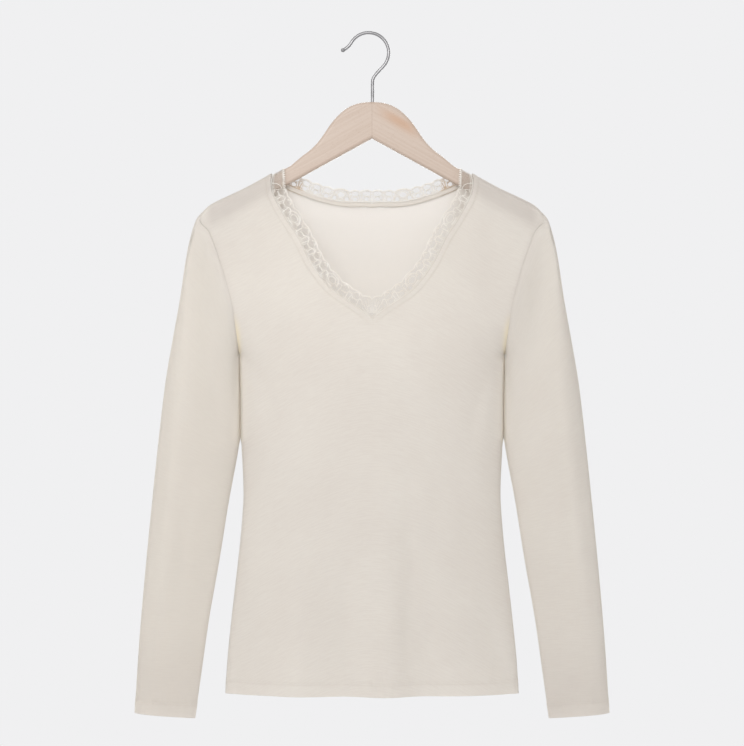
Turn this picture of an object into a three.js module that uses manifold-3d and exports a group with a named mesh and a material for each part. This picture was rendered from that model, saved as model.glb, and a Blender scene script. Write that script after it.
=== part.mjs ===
// A cream thermal top with long sleeves and a lace V neck, hanging on a wooden clothes hanger.
// Sizes are in millimetres. +Z is up, the front faces -Y, and left and right are as seen from the front.
// The origin is the point of the hook's inside that a rail carries, and "down" is a distance below it.
import * as THREE from "three";
import { mergeVertices } from "three/addons/utils/BufferGeometryUtils.js";
import Module from "manifold-3d";

const wasm = await Module();
wasm.setup();

const { clamp, lerp } = THREE.MathUtils;
const FRONT = -1;
const BACK = 1;
const LEFT = -1;
const RIGHT = 1;

// Walls and seams
const CLOTH = 1.2;
const HEM_WALL = 2.2;
const HEM_DEPTH = 18;
const HEM_STEP = 0.6;
const SEAM_GAP = 0.3;

// The body, from the shoulder line to the hem
const HEM_DOWN = 790;
const UNDERARM_DOWN = 384;
const UNDERARM_NORMAL = new THREE.Vector3(0, 0, -1);
const SHOULDER_TIP = 205;
const NECK_POINT = 121;
const CAP_RADIUS = { neck: 10.4, shoulder: 8.6 };
const CAP_BLEND = { from: 124, to: 150 };
const FALL = 170;
const BODY_ROUND = 0.6;
const HALF_COLUMNS = 13;
const BODY_ROWS = 11;
const CAP_LENGTHS = [0, 4, 8, 12, 17];
const ARMHOLE_DOWNS = [238, 262, 288, 316, 342, 364, 378, UNDERARM_DOWN];
const BACK_MIDDLE_DOWNS = [236, 272, 310, 348];

// The sleeves, from the armhole to the cuff
const CUFF_DOWN = { outer: 813, inner: 820 };
const SLEEVE_ROWS = 18;
const SLEEVE_ROW_GROWTH = 1.25;
const SLEEVE_SEAM = new THREE.Vector3(0.3, 0, -0.15);

// Shares of the sleeve's length over which the armhole's form gives way to the sleeve's own, and how the
// inner edge lags behind the outer one, from the armhole's slant to the cuff's
const SLEEVE_EASE = { bow: 0.3, turn: 0.4, depth: 0.35 };
const SLEEVE_LAG = { armhole: 1.3, cuff: 1.5 };
const SLEEVE_LEAN = 0.5;

// Lace tape and the binding over its seam; into is a distance from the fabric's edge into the neck opening
const LACE = { wall: 1, under: 1.9, scallop: 1.8, medallion: 2.6, centre: 24.5 };
const LACE_WIDTH = { [FRONT]: 16.5, [BACK]: 14.5 };
const LACE_TUCK = { [FRONT]: 3, [BACK]: 5.5 };
const LACE_FAN = { [FRONT]: 30, [BACK]: 6 };
const NECK_STEPS = 160;
const NECK_SPAN = 3;
const NECK_SEAM_EASE = 5;
const SURFACE_STEP = 0.5;
const BINDING = { wall: 0.8, under: 3.3, from: -6, to: -0.6, length: 100, steps: 14 };

// The hanger
const WOOD = { thickness: 12, end: 198, endRound: 9, bevel: 4, apex: 124.9, slope: 0.5475 };
const WOOD_CLEAR = { neck: 4.2, shoulder: 2.1 };
const WOOD_STEP = { dome: 7, arm: 13, armFrom: 98, end: 4 };
const WIRE_RADIUS = 2;
const HOOK = { radius: 24, x: -4, tipRadius: 2.6, arcSteps: 20 };
const FLARE = { angle: THREE.MathUtils.degToRad(150), out: 10, down: 9, pull: 6.5 };
const BEND = { angle: THREE.MathUtils.degToRad(-35), drop: 35, pull: 9, shankPull: 10 };
const SHANK = { x: 0.6, seat: 22, bore: 2.35, clear: 1 };

// Height of the shoulder line's cloth: flat over the middle, then down the hanger's arms
const SHOULDER_LINE = [
  { out: 0, down: 120 },
  { out: 10, down: 120.5 },
  { out: 40, down: 128 },
  { out: 75, down: 142 },
  { out: 97.8, down: 153.6 },
  { out: 115.8, down: 163.6 },
  { out: 152.4, down: 183.6 },
  { out: 193.2, down: 203.4 },
  { out: 205, down: 213.5 },
];

// Top edge of the wooden hanger's middle, a dome with hollow sides
const WOOD_TOP = [
  { out: 0, down: 80.8 },
  { out: 12, down: 81.7 },
  { out: 24, down: 85 },
  { out: 34, down: 91 },
  { out: 44, down: 100.5 },
  { out: 52, down: 110.5 },
  { out: 60.6, down: 124.4 },
  { out: 71.4, down: 136.4 },
  { out: 84.6, down: 147 },
];

// Half widths and half depths of the body: side is where the front meets the back or the sleeve
const BODY = [
  { down: 120, side: 205, front: 24, back: 20 },
  { down: 214, side: 205, front: 34, back: 27 },
  { down: 238, side: 194.4, front: 37, back: 30 },
  { down: 270, side: 182.4, front: 40, back: 33 },
  { down: 310, side: 170.4, front: 43, back: 36 },
  { down: 342, side: 164.4, front: 45, back: 38 },
  { down: 384, side: 159.6, front: 46, back: 39 },
  { down: 438, side: 157.8, front: 44, back: 37 },
  { down: 486, side: 157.2, front: 42, back: 35 },
  { down: 534, side: 155, front: 41, back: 34 },
  { down: 558, side: 154.8, front: 40.5, back: 34 },
  { down: 606, side: 158.4, front: 40, back: 34.5 },
  { down: 654, side: 163.8, front: 40, back: 35 },
  { down: 702, side: 169.2, front: 40, back: 36 },
  { down: 750, side: 174, front: 40, back: 36.5 },
  { down: 790, side: 176.2, front: 40, back: 37 },
];

// Half the gap between front and back at the armhole, closing at the underarm; the cloth beside it closes
// lower down, by spread for each millimetre inwards, in soft folds that run down from the underarm
const ARMHOLE = { top: 214, deep: 300, topDepth: 8, depth: 22, spread: 0.9 };

// The fabric's edge round the neck, from the middle up to the shoulder line, where the last row lies
const NECK = {
  [FRONT]: [
    { out: 0, down: 342.4 },
    { out: 17.6, down: 329 },
    { out: 43.8, down: 311 },
    { out: 58.8, down: 295.6 },
    { out: 74.4, down: 273 },
    { out: 88.8, down: 244 },
    { out: 103.2, down: 222 },
    { out: 118.2, down: 194 },
    { out: 120.9, down: 180 },
    { out: NECK_POINT, down: 0 },
  ],
  [BACK]: [
    { out: 0, down: 200.8 },
    { out: 26, down: 200.2 },
    { out: 48, down: 197.8 },
    { out: 73, down: 191 },
    { out: 94, down: 183 },
    { out: 106, down: 177 },
    { out: 114, down: 172.3 },
    { out: 119, down: 168.4 },
    { out: NECK_POINT, down: 0 },
  ],
};

// Soft folds of the body: x goes from its value at the top to its value at the hem
const BODY_FOLDS = [
  { side: FRONT, topX: -84, hemX: -92, top: 540, height: 7, width: 26 },
  { side: FRONT, topX: -40, hemX: -32, top: 560, height: -6, width: 22 },
  { side: FRONT, topX: 13, hemX: 17, top: 520, height: 8, width: 24 },
  { side: FRONT, topX: 54, hemX: 62, top: 550, height: -7, width: 24 },
  { side: FRONT, topX: -122, hemX: -166, top: 600, height: -5, width: 13 },
  { side: FRONT, topX: 118, hemX: 166, top: 610, height: -6, width: 13 },
  { side: BACK, topX: -70, hemX: -82, top: 500, height: 7, width: 27 },
  { side: BACK, topX: -22, hemX: -28, top: 560, height: -6, width: 22 },
  { side: BACK, topX: 24, hemX: 22, top: 470, height: 8, width: 26 },
  { side: BACK, topX: 72, hemX: 74, top: 580, height: -7, width: 23 },
  { side: BACK, topX: 120, hemX: 132, top: 560, height: 5, width: 22 },
  { side: BACK, topX: -112, hemX: -140, top: 610, height: -5, width: 16 },
];

// The sleeve's two edges as seen from the front, and its half depth along its length
const SLEEVE_OUTER = [
  { down: 213.5, out: 205 },
  { down: 222, out: 211 },
  { down: 246, out: 218.4 },
  { down: 270, out: 223.2 },
  { down: 318, out: 230.4 },
  { down: 366, out: 239 },
  { down: 414, out: 247.2 },
  { down: 462, out: 253.2 },
  { down: 534, out: 261 },
  { down: 630, out: 270.6 },
  { down: 726, out: 279 },
  { down: 813, out: 284.6 },
];
const SLEEVE_INNER = [
  { down: 384, out: 159.6 },
  { down: 402, out: 160.1 },
  { down: 438, out: 159 },
  { down: 486, out: 158.6 },
  { down: 510, out: 162 },
  { down: 558, out: 171 },
  { down: 630, out: 182.6 },
  { down: 702, out: 195.2 },
  { down: 774, out: 205.4 },
  { down: 820, out: 212 },
];
const SLEEVE_DEPTH = [
  { along: 0, depth: 24 },
  { along: 0.2, depth: 31 },
  { along: 0.4, depth: 30 },
  { along: 0.6, depth: 25 },
  { along: 0.8, depth: 19 },
  { along: 1, depth: 14 },
];

// Soft folds along the sleeve: turn is a place round its front or back, from 0 at the outer edge to 1 at the
// inner edge
const SLEEVE_FOLDS = [
  { side: FRONT, turn: 0.62, from: 0.12, to: 0.52, height: -3, width: 0.16 },
  { side: FRONT, turn: 0.75, from: 0.5, to: 0.98, height: -2, width: 0.14 },
  { side: BACK, turn: 0.55, from: 0.2, to: 0.62, height: -3, width: 0.16 },
  { side: BACK, turn: 0.4, from: 0.58, to: 0.98, height: -2.4, width: 0.15 },
];

// Lace motifs along the tape, from the middle of the neck up to the shoulder
const LACE_MOTIFS = {
  [FRONT]: [
    { kind: "fan", length: 20, count: 1 },
    { kind: "arc", length: 14, count: 2 },
    { kind: "medallion", length: 22, count: 1 },
    { kind: "arc", length: 14.5, count: 4 },
    { kind: "medallion", length: 22, count: 1 },
    { kind: "arc", length: 14.5, count: 2 },
    { kind: "plain", length: 3.6, count: 6 },
  ],
  [BACK]: [
    { kind: "arc", length: 13.5, count: 2 },
    { kind: "medallion", length: 22, count: 1 },
    { kind: "arc", length: 13.7, count: 4 },
    { kind: "plain", length: 3.6, count: 8 },
  ],
};

// A number from 0 to 1 that eases in and out
function smooth(u) {
  const t = clamp(u, 0, 1);
  return t * t * (3 - 2 * t);
}

// A smooth curve through a table's rows: column "value" as a function of column "key"
function curve(table, key, value) {
  const keys = table.map((row) => row[key]);
  const values = table.map((row) => row[value]);
  const last = table.length - 1;
  const slopes = keys.map((_, i) => {
    const [a, b] = [Math.max(i - 1, 0), Math.min(i + 1, last)];
    return (values[b] - values[a]) / (keys[b] - keys[a]);
  });
  return (x) => {
    const inside = clamp(x, keys[0], keys[last]);
    const next = keys.findIndex((k, i) => i > 0 && inside <= k);
    const step = keys[next] - keys[next - 1];
    const u = (inside - keys[next - 1]) / step;
    const leave = u * (1 - u) * (1 - u) * step * slopes[next - 1];
    const arrive = u * u * (u - 1) * step * slopes[next];
    return lerp(values[next - 1], values[next], smooth(u)) + leave + arrive;
  };
}

const shoulderDown = curve(SHOULDER_LINE, "out", "down");
const woodTopDown = curve(WOOD_TOP, "out", "down");
const sideOut = curve(BODY, "down", "side");
const middleDepth = { [FRONT]: curve(BODY, "down", "front"), [BACK]: curve(BODY, "down", "back") };
const sleeveOuterOut = curve(SLEEVE_OUTER, "down", "out");
const sleeveInnerOut = curve(SLEEVE_INNER, "down", "out");
const sleeveDepth = curve(SLEEVE_DEPTH, "along", "depth");

// From the value at the neck to the value at the shoulder, across the stretch where the lace ends
function neckToShoulder(pair, out) {
  return lerp(pair.neck, pair.shoulder, smooth((out - CAP_BLEND.from) / (CAP_BLEND.to - CAP_BLEND.from)));
}

// How far the cloth drops below the shoulder line over a length of cloth, first round the hanger's arm
function dropAfter(out, length) {
  const radius = neckToShoulder(CAP_RADIUS, out);
  const quarter = (radius * Math.PI) / 2;
  return length < quarter ? radius * (1 - Math.cos(length / radius)) : radius + length - quarter;
}

// The length of cloth between the shoulder line and a point at a given height
function lengthTo(out, down) {
  const radius = neckToShoulder(CAP_RADIUS, out);
  const drop = Math.max(down - shoulderDown(out), 0);
  return drop < radius ? radius * Math.acos(1 - drop / radius) : (radius * Math.PI) / 2 + drop - radius;
}

// Half the gap between front and back along the armhole
function armholeDepth(down) {
  if (down < ARMHOLE.deep) {
    return lerp(ARMHOLE.topDepth, ARMHOLE.depth, smooth((down - ARMHOLE.top) / (ARMHOLE.deep - ARMHOLE.top)));
  }
  const closing = Math.min((down - ARMHOLE.deep) / (UNDERARM_DOWN - ARMHOLE.deep), 1);
  return ARMHOLE.depth * Math.sqrt(1 - closing * closing);
}

// Height of the body's soft folds at a point
function bodyFolds(side, x, down) {
  const atEdge = Math.min(Math.abs(x) / sideOut(down), 1) ** 8;
  return BODY_FOLDS.filter((fold) => fold.side === side).reduce((sum, fold) => {
    const along = (down - fold.top) / (HEM_DOWN - fold.top);
    const across = (x - lerp(fold.topX, fold.hemX, along)) / fold.width;
    return sum + (1 - atEdge) * fold.height * smooth(along) * Math.exp(-across * across);
  }, 0);
}

// A point of the body's outer face: x across, and a length of cloth down from the shoulder line
function clothPoint(side, x, length) {
  const out = Math.abs(x);
  const radius = neckToShoulder(CAP_RADIUS, out);
  const drop = dropAfter(out, length);
  const down = shoulderDown(out) + drop;
  const cap = radius * Math.sin(Math.min(length / radius, Math.PI / 2));
  const edge = armholeDepth(down - ARMHOLE.spread * Math.max(sideOut(down) - out, 0));
  const crown = Math.max(1 - (out / sideOut(down)) ** 2, 0) ** BODY_ROUND;
  const full = Math.cbrt(edge ** 3 + (middleDepth[side](down) ** 3 - edge ** 3) * crown ** 3);
  const depth = lerp(cap, full, smooth(drop / FALL)) + bodyFolds(side, x, down);
  return new THREE.Vector3(x, side * depth, -down);
}

// Points that lie together have the same key
function pointKey(p) {
  return [p.x, p.y, p.z].map((v) => Math.round(v * 1000)).join(",");
}

// A sheet of cloth: points of its outer face, each with a wall and a normal, and the triangles between them
class Sheet {
  constructor() {
    this.points = [];
    this.walls = [];
    this.normals = [];
    this.faces = [];
    this.found = new Map();
  }

  // Adds a point once for each wall, and gives its number
  point(p, wall, normal) {
    const key = `${pointKey(p)}/${wall}`;
    if (!this.found.has(key)) {
      this.found.set(key, this.points.length);
      this.points.push(p);
      this.walls.push(wall);
      this.normals.push(normal);
    }
    return this.found.get(key);
  }

  // Adds a triangle, anticlockwise from outside unless it is turned
  face(a, b, c, turned) {
    if (a !== b && b !== c && a !== c) this.faces.push(turned ? [a, c, b] : [a, b, c]);
  }

  // Adds the faces between two rows of point numbers
  band(upper, lower, turned) {
    for (let i = 1; i < upper.length; i += 1) {
      this.face(upper[i - 1], lower[i - 1], lower[i], turned);
      this.face(upper[i - 1], lower[i], upper[i], turned);
    }
  }

  // Moves every point by one step
  shift(step) {
    this.points = this.points.map((p) => p.clone().add(step));
    return this;
  }

  // The closed wall: outer face, inner face and the edges that join them
  solid() {
    const inner = this.points.map((p, i) => p.clone().addScaledVector(this.normals[i], -this.walls[i]));
    const count = this.points.length;
    const index = [];
    const edges = new Set(this.faces.flatMap(([a, b, c]) => [`${a},${b}`, `${b},${c}`, `${c},${a}`]));
    this.faces.forEach(([a, b, c]) => {
      index.push(a, b, c, a + count, c + count, b + count);
      [[a, b], [b, c], [c, a]].forEach(([from, to]) => {
        if (!edges.has(`${to},${from}`)) index.push(to, from, from + count, to, from + count, to + count);
      });
    });
    const positions = [...this.points, ...inner].flatMap((p) => [p.x, p.y, p.z]);
    const geometry = new THREE.BufferGeometry();
    geometry.setAttribute("position", new THREE.Float32BufferAttribute(positions, 3));
    geometry.setIndex(index);
    geometry.computeVertexNormals();
    return geometry;
  }
}

// Gives each point of the sheets the mean normal of all the faces that meet there, across the seams too;
// at the underarm, where the cloth folds back on itself, the normal points straight down
function shareNormals(sheets) {
  const sums = new Map();
  sheets.forEach((sheet) => {
    sheet.faces.forEach((corners) => {
      const [a, b, c] = corners.map((i) => sheet.points[i]);
      const normal = b.clone().sub(a).cross(c.clone().sub(a));
      corners.forEach((i) => {
        const key = pointKey(sheet.points[i]);
        if (!sums.has(key)) sums.set(key, new THREE.Vector3());
        sums.get(key).add(normal);
      });
    });
  });
  [LEFT, RIGHT].forEach((half) => {
    sums.set(pointKey(new THREE.Vector3(half * sideOut(UNDERARM_DOWN), 0, -UNDERARM_DOWN)), UNDERARM_NORMAL);
  });
  sheets.forEach((sheet) => {
    sheet.normals = sheet.points.map((p) => sums.get(pointKey(p)).clone().normalize());
  });
}

// The neck edge laid out flat: x across, y the length of cloth below the shoulder line
const neckLine = Object.fromEntries(
  [FRONT, BACK].map((side) => [
    side,
    new THREE.SplineCurve(NECK[side].map(({ out, down }) => new THREE.Vector2(out, lengthTo(out, down)))),
  ]),
);

// The inner ends of a panel's rows: down the neck edge, and on the back down the middle after it
function rowStarts(side) {
  const line = neckLine[side];
  const total = line.getLength();
  const middle = side === BACK ? BACK_MIDDLE_DOWNS : [];
  const edgeRows = ARMHOLE_DOWNS.length - middle.length;
  const capEnd = CAP_LENGTHS.at(-1);
  const rowLength = (total - capEnd) / edgeRows;
  const edge = Array.from({ length: edgeRows }, (_, i) => capEnd + rowLength * (i + 1));
  const starts = [...CAP_LENGTHS, ...edge].map((length) => line.getPointAt(1 - length / total));
  return [...starts, ...middle.map((down) => new THREE.Vector2(0, lengthTo(0, down)))];
}

// The outer ends of a panel's rows: down the armhole from the shoulder tip to the underarm
function armholeEnds() {
  const cap = CAP_LENGTHS.map((length) => new THREE.Vector2(SHOULDER_TIP, length));
  const armhole = ARMHOLE_DOWNS.map((down) => {
    const out = sideOut(down);
    return new THREE.Vector2(out, lengthTo(out, down));
  });
  return [...cap, ...armhole];
}

// How far across a row a column lies: closer together towards the side, where the cloth turns
function columnPart(column) {
  const even = column / HALF_COLUMNS;
  return lerp(even, Math.sin((even * Math.PI) / 2), 0.5);
}

// The front or back panel, in two halves that share their middle line below the neck
function panel(side) {
  const sheet = new Sheet();
  const columns = Array.from({ length: HALF_COLUMNS + 1 }, (_, column) => columnPart(column));
  const starts = rowStarts(side);
  const upper = armholeEnds().map((end, i) => columns.map((part) => starts[i].clone().lerp(end, part)));
  const underarm = upper.at(-1).map((spot) => shoulderDown(spot.x) + dropAfter(spot.x, spot.y));
  const lower = [];
  for (let row = 1; row <= BODY_ROWS; row += 1) {
    lower.push({ part: row / BODY_ROWS, end: HEM_DOWN - HEM_DEPTH - HEM_STEP, wall: CLOTH });
  }
  lower.push({ part: 1, end: HEM_DOWN - HEM_DEPTH + HEM_STEP, wall: HEM_WALL });
  lower.push({ part: 1, end: HEM_DOWN, wall: HEM_WALL });
  [LEFT, RIGHT].forEach((half) => {
    const rows = upper.map((spots) =>
      spots.map((spot) => sheet.point(clothPoint(side, half * spot.x, spot.y), CLOTH)),
    );
    lower.forEach(({ part, end, wall }) => {
      const row = columns.map((across, column) => {
        const down = lerp(underarm[column], end, part);
        const out = sideOut(down) * across;
        return sheet.point(clothPoint(side, half * out, lengthTo(out, down)), wall);
      });
      rows.push(row);
    });
    for (let row = 1; row < rows.length; row += 1) sheet.band(rows[row - 1], rows[row], half * side > 0);
  });
  return sheet;
}

// Depth of a sleeve's section round its turn, fullest nearer its outer edge
function sleeveSection(turn) {
  const angle = turn * Math.PI;
  return Math.sin(angle + SLEEVE_LEAN * Math.sin(angle));
}

// Height of the sleeve's soft folds
function sleeveFolds(side, turn, along) {
  return SLEEVE_FOLDS.filter((fold) => fold.side === side).reduce((sum, fold) => {
    const within = clamp((along - fold.from) / (fold.to - fold.from), 0, 1);
    const across = (turn - fold.turn) / fold.width;
    return sum + fold.height * Math.sin(within * Math.PI) ** 2 * Math.exp(-across * across);
  }, 0);
}

// A sleeve in rings from the armhole to the cuff, each ring its front half and then its back half
function sleeve(half) {
  const armhole = armholeEnds();
  const steps = armhole.length - 1;
  const start = { [FRONT]: armhole.map((end) => clothPoint(FRONT, end.x, end.y)) };
  start[BACK] = armhole.map((end) => clothPoint(BACK, end.x, end.y));
  const [tip, pit] = [start[FRONT][0], start[FRONT][steps]];
  const chord = new THREE.Vector3(pit.x - tip.x, 0, pit.z - tip.z);
  const ringPoint = (side, step, along) => {
    const from = start[side][step];
    const bow = new THREE.Vector3(from.x - tip.x, 0, from.z - tip.z);
    const fromPart = clamp(bow.dot(chord) / chord.lengthSq(), 0, 1);
    bow.addScaledVector(chord, -fromPart).multiplyScalar(1 - smooth(along / SLEEVE_EASE.bow));
    const turn = lerp(Math.acos(1 - 2 * fromPart) / Math.PI, step / steps, smooth(along / SLEEVE_EASE.turn));
    const part = (1 - Math.cos(turn * Math.PI)) / 2;
    const outerDown = lerp(-tip.z, CUFF_DOWN.outer, along);
    const lag = lerp(SLEEVE_LAG.armhole, SLEEVE_LAG.cuff, along);
    const innerDown = lerp(-pit.z, CUFF_DOWN.inner, along ** lag);
    const out = lerp(sleeveOuterOut(outerDown), sleeveInnerOut(innerDown), part) + bow.x;
    const full = (sleeveDepth(along) + sleeveFolds(side, turn, along)) * sleeveSection(turn);
    const y = lerp(from.y, side * full, smooth(along / SLEEVE_EASE.depth));
    return new THREE.Vector3(half * out, y, bow.z - lerp(outerDown, innerDown, part));
  };
  const hem = 1 - HEM_DEPTH / (CUFF_DOWN.outer + tip.z);
  const hemStep = HEM_STEP / (CUFF_DOWN.outer + tip.z);
  const rings = [];
  for (let row = 0; row <= SLEEVE_ROWS; row += 1) {
    rings.push({ along: (row / SLEEVE_ROWS) ** SLEEVE_ROW_GROWTH * (hem - hemStep), wall: CLOTH });
  }
  rings.push({ along: hem + hemStep, wall: HEM_WALL });
  rings.push({ along: 1, wall: HEM_WALL });
  const sheet = new Sheet();
  const numbers = rings.map(({ along, wall }) => {
    const ring = [];
    const put = (side, step) => ring.push(sheet.point(ringPoint(side, step, along), wall));
    for (let step = 0; step <= steps; step += 1) put(FRONT, step);
    for (let step = steps - 1; step >= 0; step -= 1) put(BACK, step);
    return ring;
  });
  for (let row = 1; row < numbers.length; row += 1) sheet.band(numbers[row - 1], numbers[row], half > 0);
  return sheet;
}

// The neck's right edge as a measured path: points, outward normals and lengths from the middle
function neckPath(side) {
  const step = SURFACE_STEP;
  const path = neckLine[side].getSpacedPoints(NECK_STEPS).map(({ x, y }) => {
    const across = clothPoint(side, x + step, y).sub(clothPoint(side, x - step, y));
    const down = clothPoint(side, x, y + step).sub(clothPoint(side, x, Math.max(y - step, 0)));
    return { at: clothPoint(side, x, y), normal: down.cross(across).multiplyScalar(-side).normalize() };
  });
  path.forEach((spot, i) => {
    spot.length = i > 0 ? path[i - 1].length + spot.at.distanceTo(path[i - 1].at) : 0;
  });
  return path;
}

// The point and the normal at a length along a neck path
function neckSpot(path, length) {
  const inside = clamp(length, 0, path.at(-1).length);
  const next = Math.max(path.findIndex((spot) => spot.length >= inside), 1);
  const [a, b] = [path[next - 1], path[next]];
  const part = (inside - a.length) / (b.length - a.length);
  return { at: a.at.clone().lerp(b.at, part), normal: a.normal.clone().lerp(b.normal, part).normalize() };
}

// A point of a strip that follows the neck: a length along it, a distance into the opening, and how deep it
// lies. Near the middle the strip fans out to stand upright, and at the shoulder it ends square to the seam.
function neckPoint(side, path, length, into, under) {
  const { at, normal } = neckSpot(path, length);
  const along = neckSpot(path, length + NECK_SPAN).at.sub(neckSpot(path, length - NECK_SPAN).at).normalize();
  const way = normal.clone().cross(along).multiplyScalar(-side);
  const fan = Math.max(1 - length / LACE_FAN[side], 0);
  way.lerp(new THREE.Vector3(0, way.y, 1), fan);
  const toSeam = smooth((path.at(-1).length - length) / NECK_SEAM_EASE);
  way.y *= toSeam;
  normal.y *= toSeam;
  normal.normalize();
  return { point: at.addScaledVector(way.normalize(), into).addScaledVector(normal, -under), normal };
}

// A ring of points round a hole
function oval(centre, into, halfLength, halfHeight, corners) {
  return Array.from({ length: corners }, (_, i) => {
    const angle = ((i + 0.5) * 2 * Math.PI) / corners;
    return new THREE.Vector2(centre + halfLength * Math.cos(angle), into + halfHeight * Math.sin(angle));
  });
}

// How each lace motif's scallop rises, and its open gaps; along is a share of its length, into a distance
const MOTIFS = {
  plain: { bump: 0, rise: 0, steps: 1, gaps: [] },
  arc: {
    bump: LACE.scallop,
    rise: 0,
    steps: 4,
    gaps: [
      { along: 0.5, into: 10.6, halfLength: 4.3, halfHeight: 2.6, corners: 8 },
      { along: 0.5, into: 4, halfLength: 2.7, halfHeight: 2.3, corners: 6 },
    ],
  },
  medallion: {
    bump: LACE.medallion,
    rise: 0,
    steps: 4,
    gaps: [
      { along: 0.5, into: 8.7, halfLength: 4.4, halfHeight: 3.2, corners: 10 },
      { along: 0.155, into: 4, halfLength: 2.3, halfHeight: 2.3, corners: 6 },
      { along: 0.845, into: 4, halfLength: 2.3, halfHeight: 2.3, corners: 6 },
    ],
  },
  fan: {
    bump: 1,
    rise: LACE.centre - LACE_WIDTH[FRONT],
    steps: 4,
    gaps: [
      { along: 0.25, into: 8.4, halfLength: 2.7, halfHeight: 3.2, corners: 8 },
      { along: 0.62, into: 12.2, halfLength: 3.6, halfHeight: 2.4, corners: 8 },
      { along: 0.67, into: 4.8, halfLength: 3, halfHeight: 2.2, corners: 6 },
    ],
  },
};

// One lace motif laid flat: its outline from the tucked edge up to its scallop, and its open gaps
function laceMotif(kind, length, width, tuck) {
  const { bump, rise, steps, gaps } = MOTIFS[kind];
  const outline = [];
  for (let i = 0; i <= steps; i += 2) outline.push(new THREE.Vector2((i / steps) * length, -tuck));
  if (steps === 1) outline.push(new THREE.Vector2(length, -tuck));
  for (let i = steps; i >= 0; i -= 1) {
    const part = i / steps;
    const height = width - LACE.scallop / 2 + bump * Math.sin(part * Math.PI) + rise * (1 - part);
    outline.push(new THREE.Vector2(part * length, height));
  }
  const rings = gaps.map(({ along, into, halfLength, halfHeight, corners }) =>
    oval(along * length, into, halfLength, halfHeight, corners),
  );
  return { outline, rings };
}

// Lace tape on one half of the neck, fitted to the neck edge's length
function addLace(sheet, side, half) {
  const path = neckPath(side);
  const motifs = LACE_MOTIFS[side].flatMap(({ kind, length, count }) => Array(count).fill({ kind, length }));
  const fit = path.at(-1).length / motifs.reduce((sum, { length }) => sum + length, 0);
  let start = 0;
  motifs.forEach(({ kind, length }) => {
    const { outline, rings } = laceMotif(kind, length, LACE_WIDTH[side], LACE_TUCK[side]);
    const flat = [outline, ...rings].flat();
    const numbers = flat.map(({ x, y }) => {
      const { point, normal } = neckPoint(side, path, (start + x) * fit, y, LACE.under);
      if (half < 0) [point, normal].forEach((v) => v.setX(-v.x));
      return sheet.point(point, LACE.wall, normal);
    });
    THREE.ShapeUtils.triangulateShape(outline, rings).forEach((corners) => {
      const clockwise = THREE.ShapeUtils.area(corners.map((i) => flat[i])) < 0;
      const [a, b, c] = corners.map((i) => numbers[i]);
      sheet.face(a, b, c, clockwise !== half * side > 0);
    });
    start += length;
  });
  return sheet;
}

// The binding strip inside the back neck, over the seam of the lace
function binding() {
  const sheet = new Sheet();
  const path = neckPath(BACK);
  [LEFT, RIGHT].forEach((half) => {
    const row = (into) =>
      Array.from({ length: BINDING.steps + 1 }, (_, i) => {
        const length = (i / BINDING.steps) * BINDING.length;
        const { point, normal } = neckPoint(BACK, path, length, into, BINDING.under);
        if (half < 0) [point, normal].forEach((v) => v.setX(-v.x));
        return sheet.point(point, BINDING.wall, normal);
      });
    sheet.band(row(BINDING.to), row(BINDING.from), half > 0);
  });
  return sheet;
}

// A closed geometry as a solid that can be joined and cut
function toSolid(geometry) {
  const bare = geometry.clone();
  bare.deleteAttribute("normal");
  bare.deleteAttribute("uv");
  const merged = mergeVertices(bare, 1e-4);
  return new wasm.Manifold(
    new wasm.Mesh({
      numProp: 3,
      vertProperties: new Float32Array(merged.attributes.position.array),
      triVerts: new Uint32Array(merged.index.array),
    }),
  );
}

// The solid's faces as a geometry again
function toGeometry(solid) {
  const { vertProperties, triVerts } = solid.getMesh();
  const geometry = new THREE.BufferGeometry();
  geometry.setAttribute("position", new THREE.Float32BufferAttribute(vertProperties, 3));
  geometry.setIndex(Array.from(triVerts));
  geometry.computeVertexNormals();
  return geometry;
}

// The wooden hanger's outline, one half as seen from the front
function woodHalf() {
  const half = [];
  const domeEnd = WOOD_TOP.at(-1).out;
  for (let out = 0; out < domeEnd; out += WOOD_STEP.dome) {
    half.push(new THREE.Vector2(out, -woodTopDown(out)));
  }
  for (let out = WOOD_STEP.armFrom; out < WOOD.end - WOOD.endRound; out += WOOD_STEP.arm) {
    half.push(new THREE.Vector2(out, -shoulderDown(out) - neckToShoulder(WOOD_CLEAR, out)));
  }
  const topEnd = shoulderDown(WOOD.end) + WOOD_CLEAR.shoulder;
  const bottomEnd = WOOD.apex + WOOD.slope * WOOD.end;
  for (let step = 0; step <= WOOD_STEP.end; step += 1) {
    const angle = (step / WOOD_STEP.end) * Math.PI;
    const out = WOOD.end - WOOD.endRound * (1 - Math.sin(angle));
    half.push(new THREE.Vector2(out, -lerp(topEnd, bottomEnd, (1 - Math.cos(angle)) / 2)));
  }
  half.push(new THREE.Vector2(0, -WOOD.apex));
  return half;
}

// The wooden hanger, with the hole that its hook is screwed into
function wood() {
  const right = woodHalf();
  const left = right.slice(1, -1).reverse().map(({ x, y }) => new THREE.Vector2(-x, y));
  const body = new THREE.ExtrudeGeometry(new THREE.Shape([...right, ...left]), {
    depth: WOOD.thickness - 2 * WOOD.bevel,
    bevelThickness: WOOD.bevel,
    bevelSize: WOOD.bevel,
    bevelOffset: -WOOD.bevel,
    bevelSegments: 3,
  });
  body.translate(0, 0, WOOD.bevel - WOOD.thickness / 2);
  body.rotateX(Math.PI / 2);
  const hole = new THREE.CylinderGeometry(SHANK.bore, SHANK.bore, 2 * SHANK.seat, 12);
  hole.rotateX(Math.PI / 2);
  hole.translate(SHANK.x, 0, -WOOD_TOP[0].down);
  return toGeometry(toSolid(body).subtract(toSolid(hole)));
}

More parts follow.
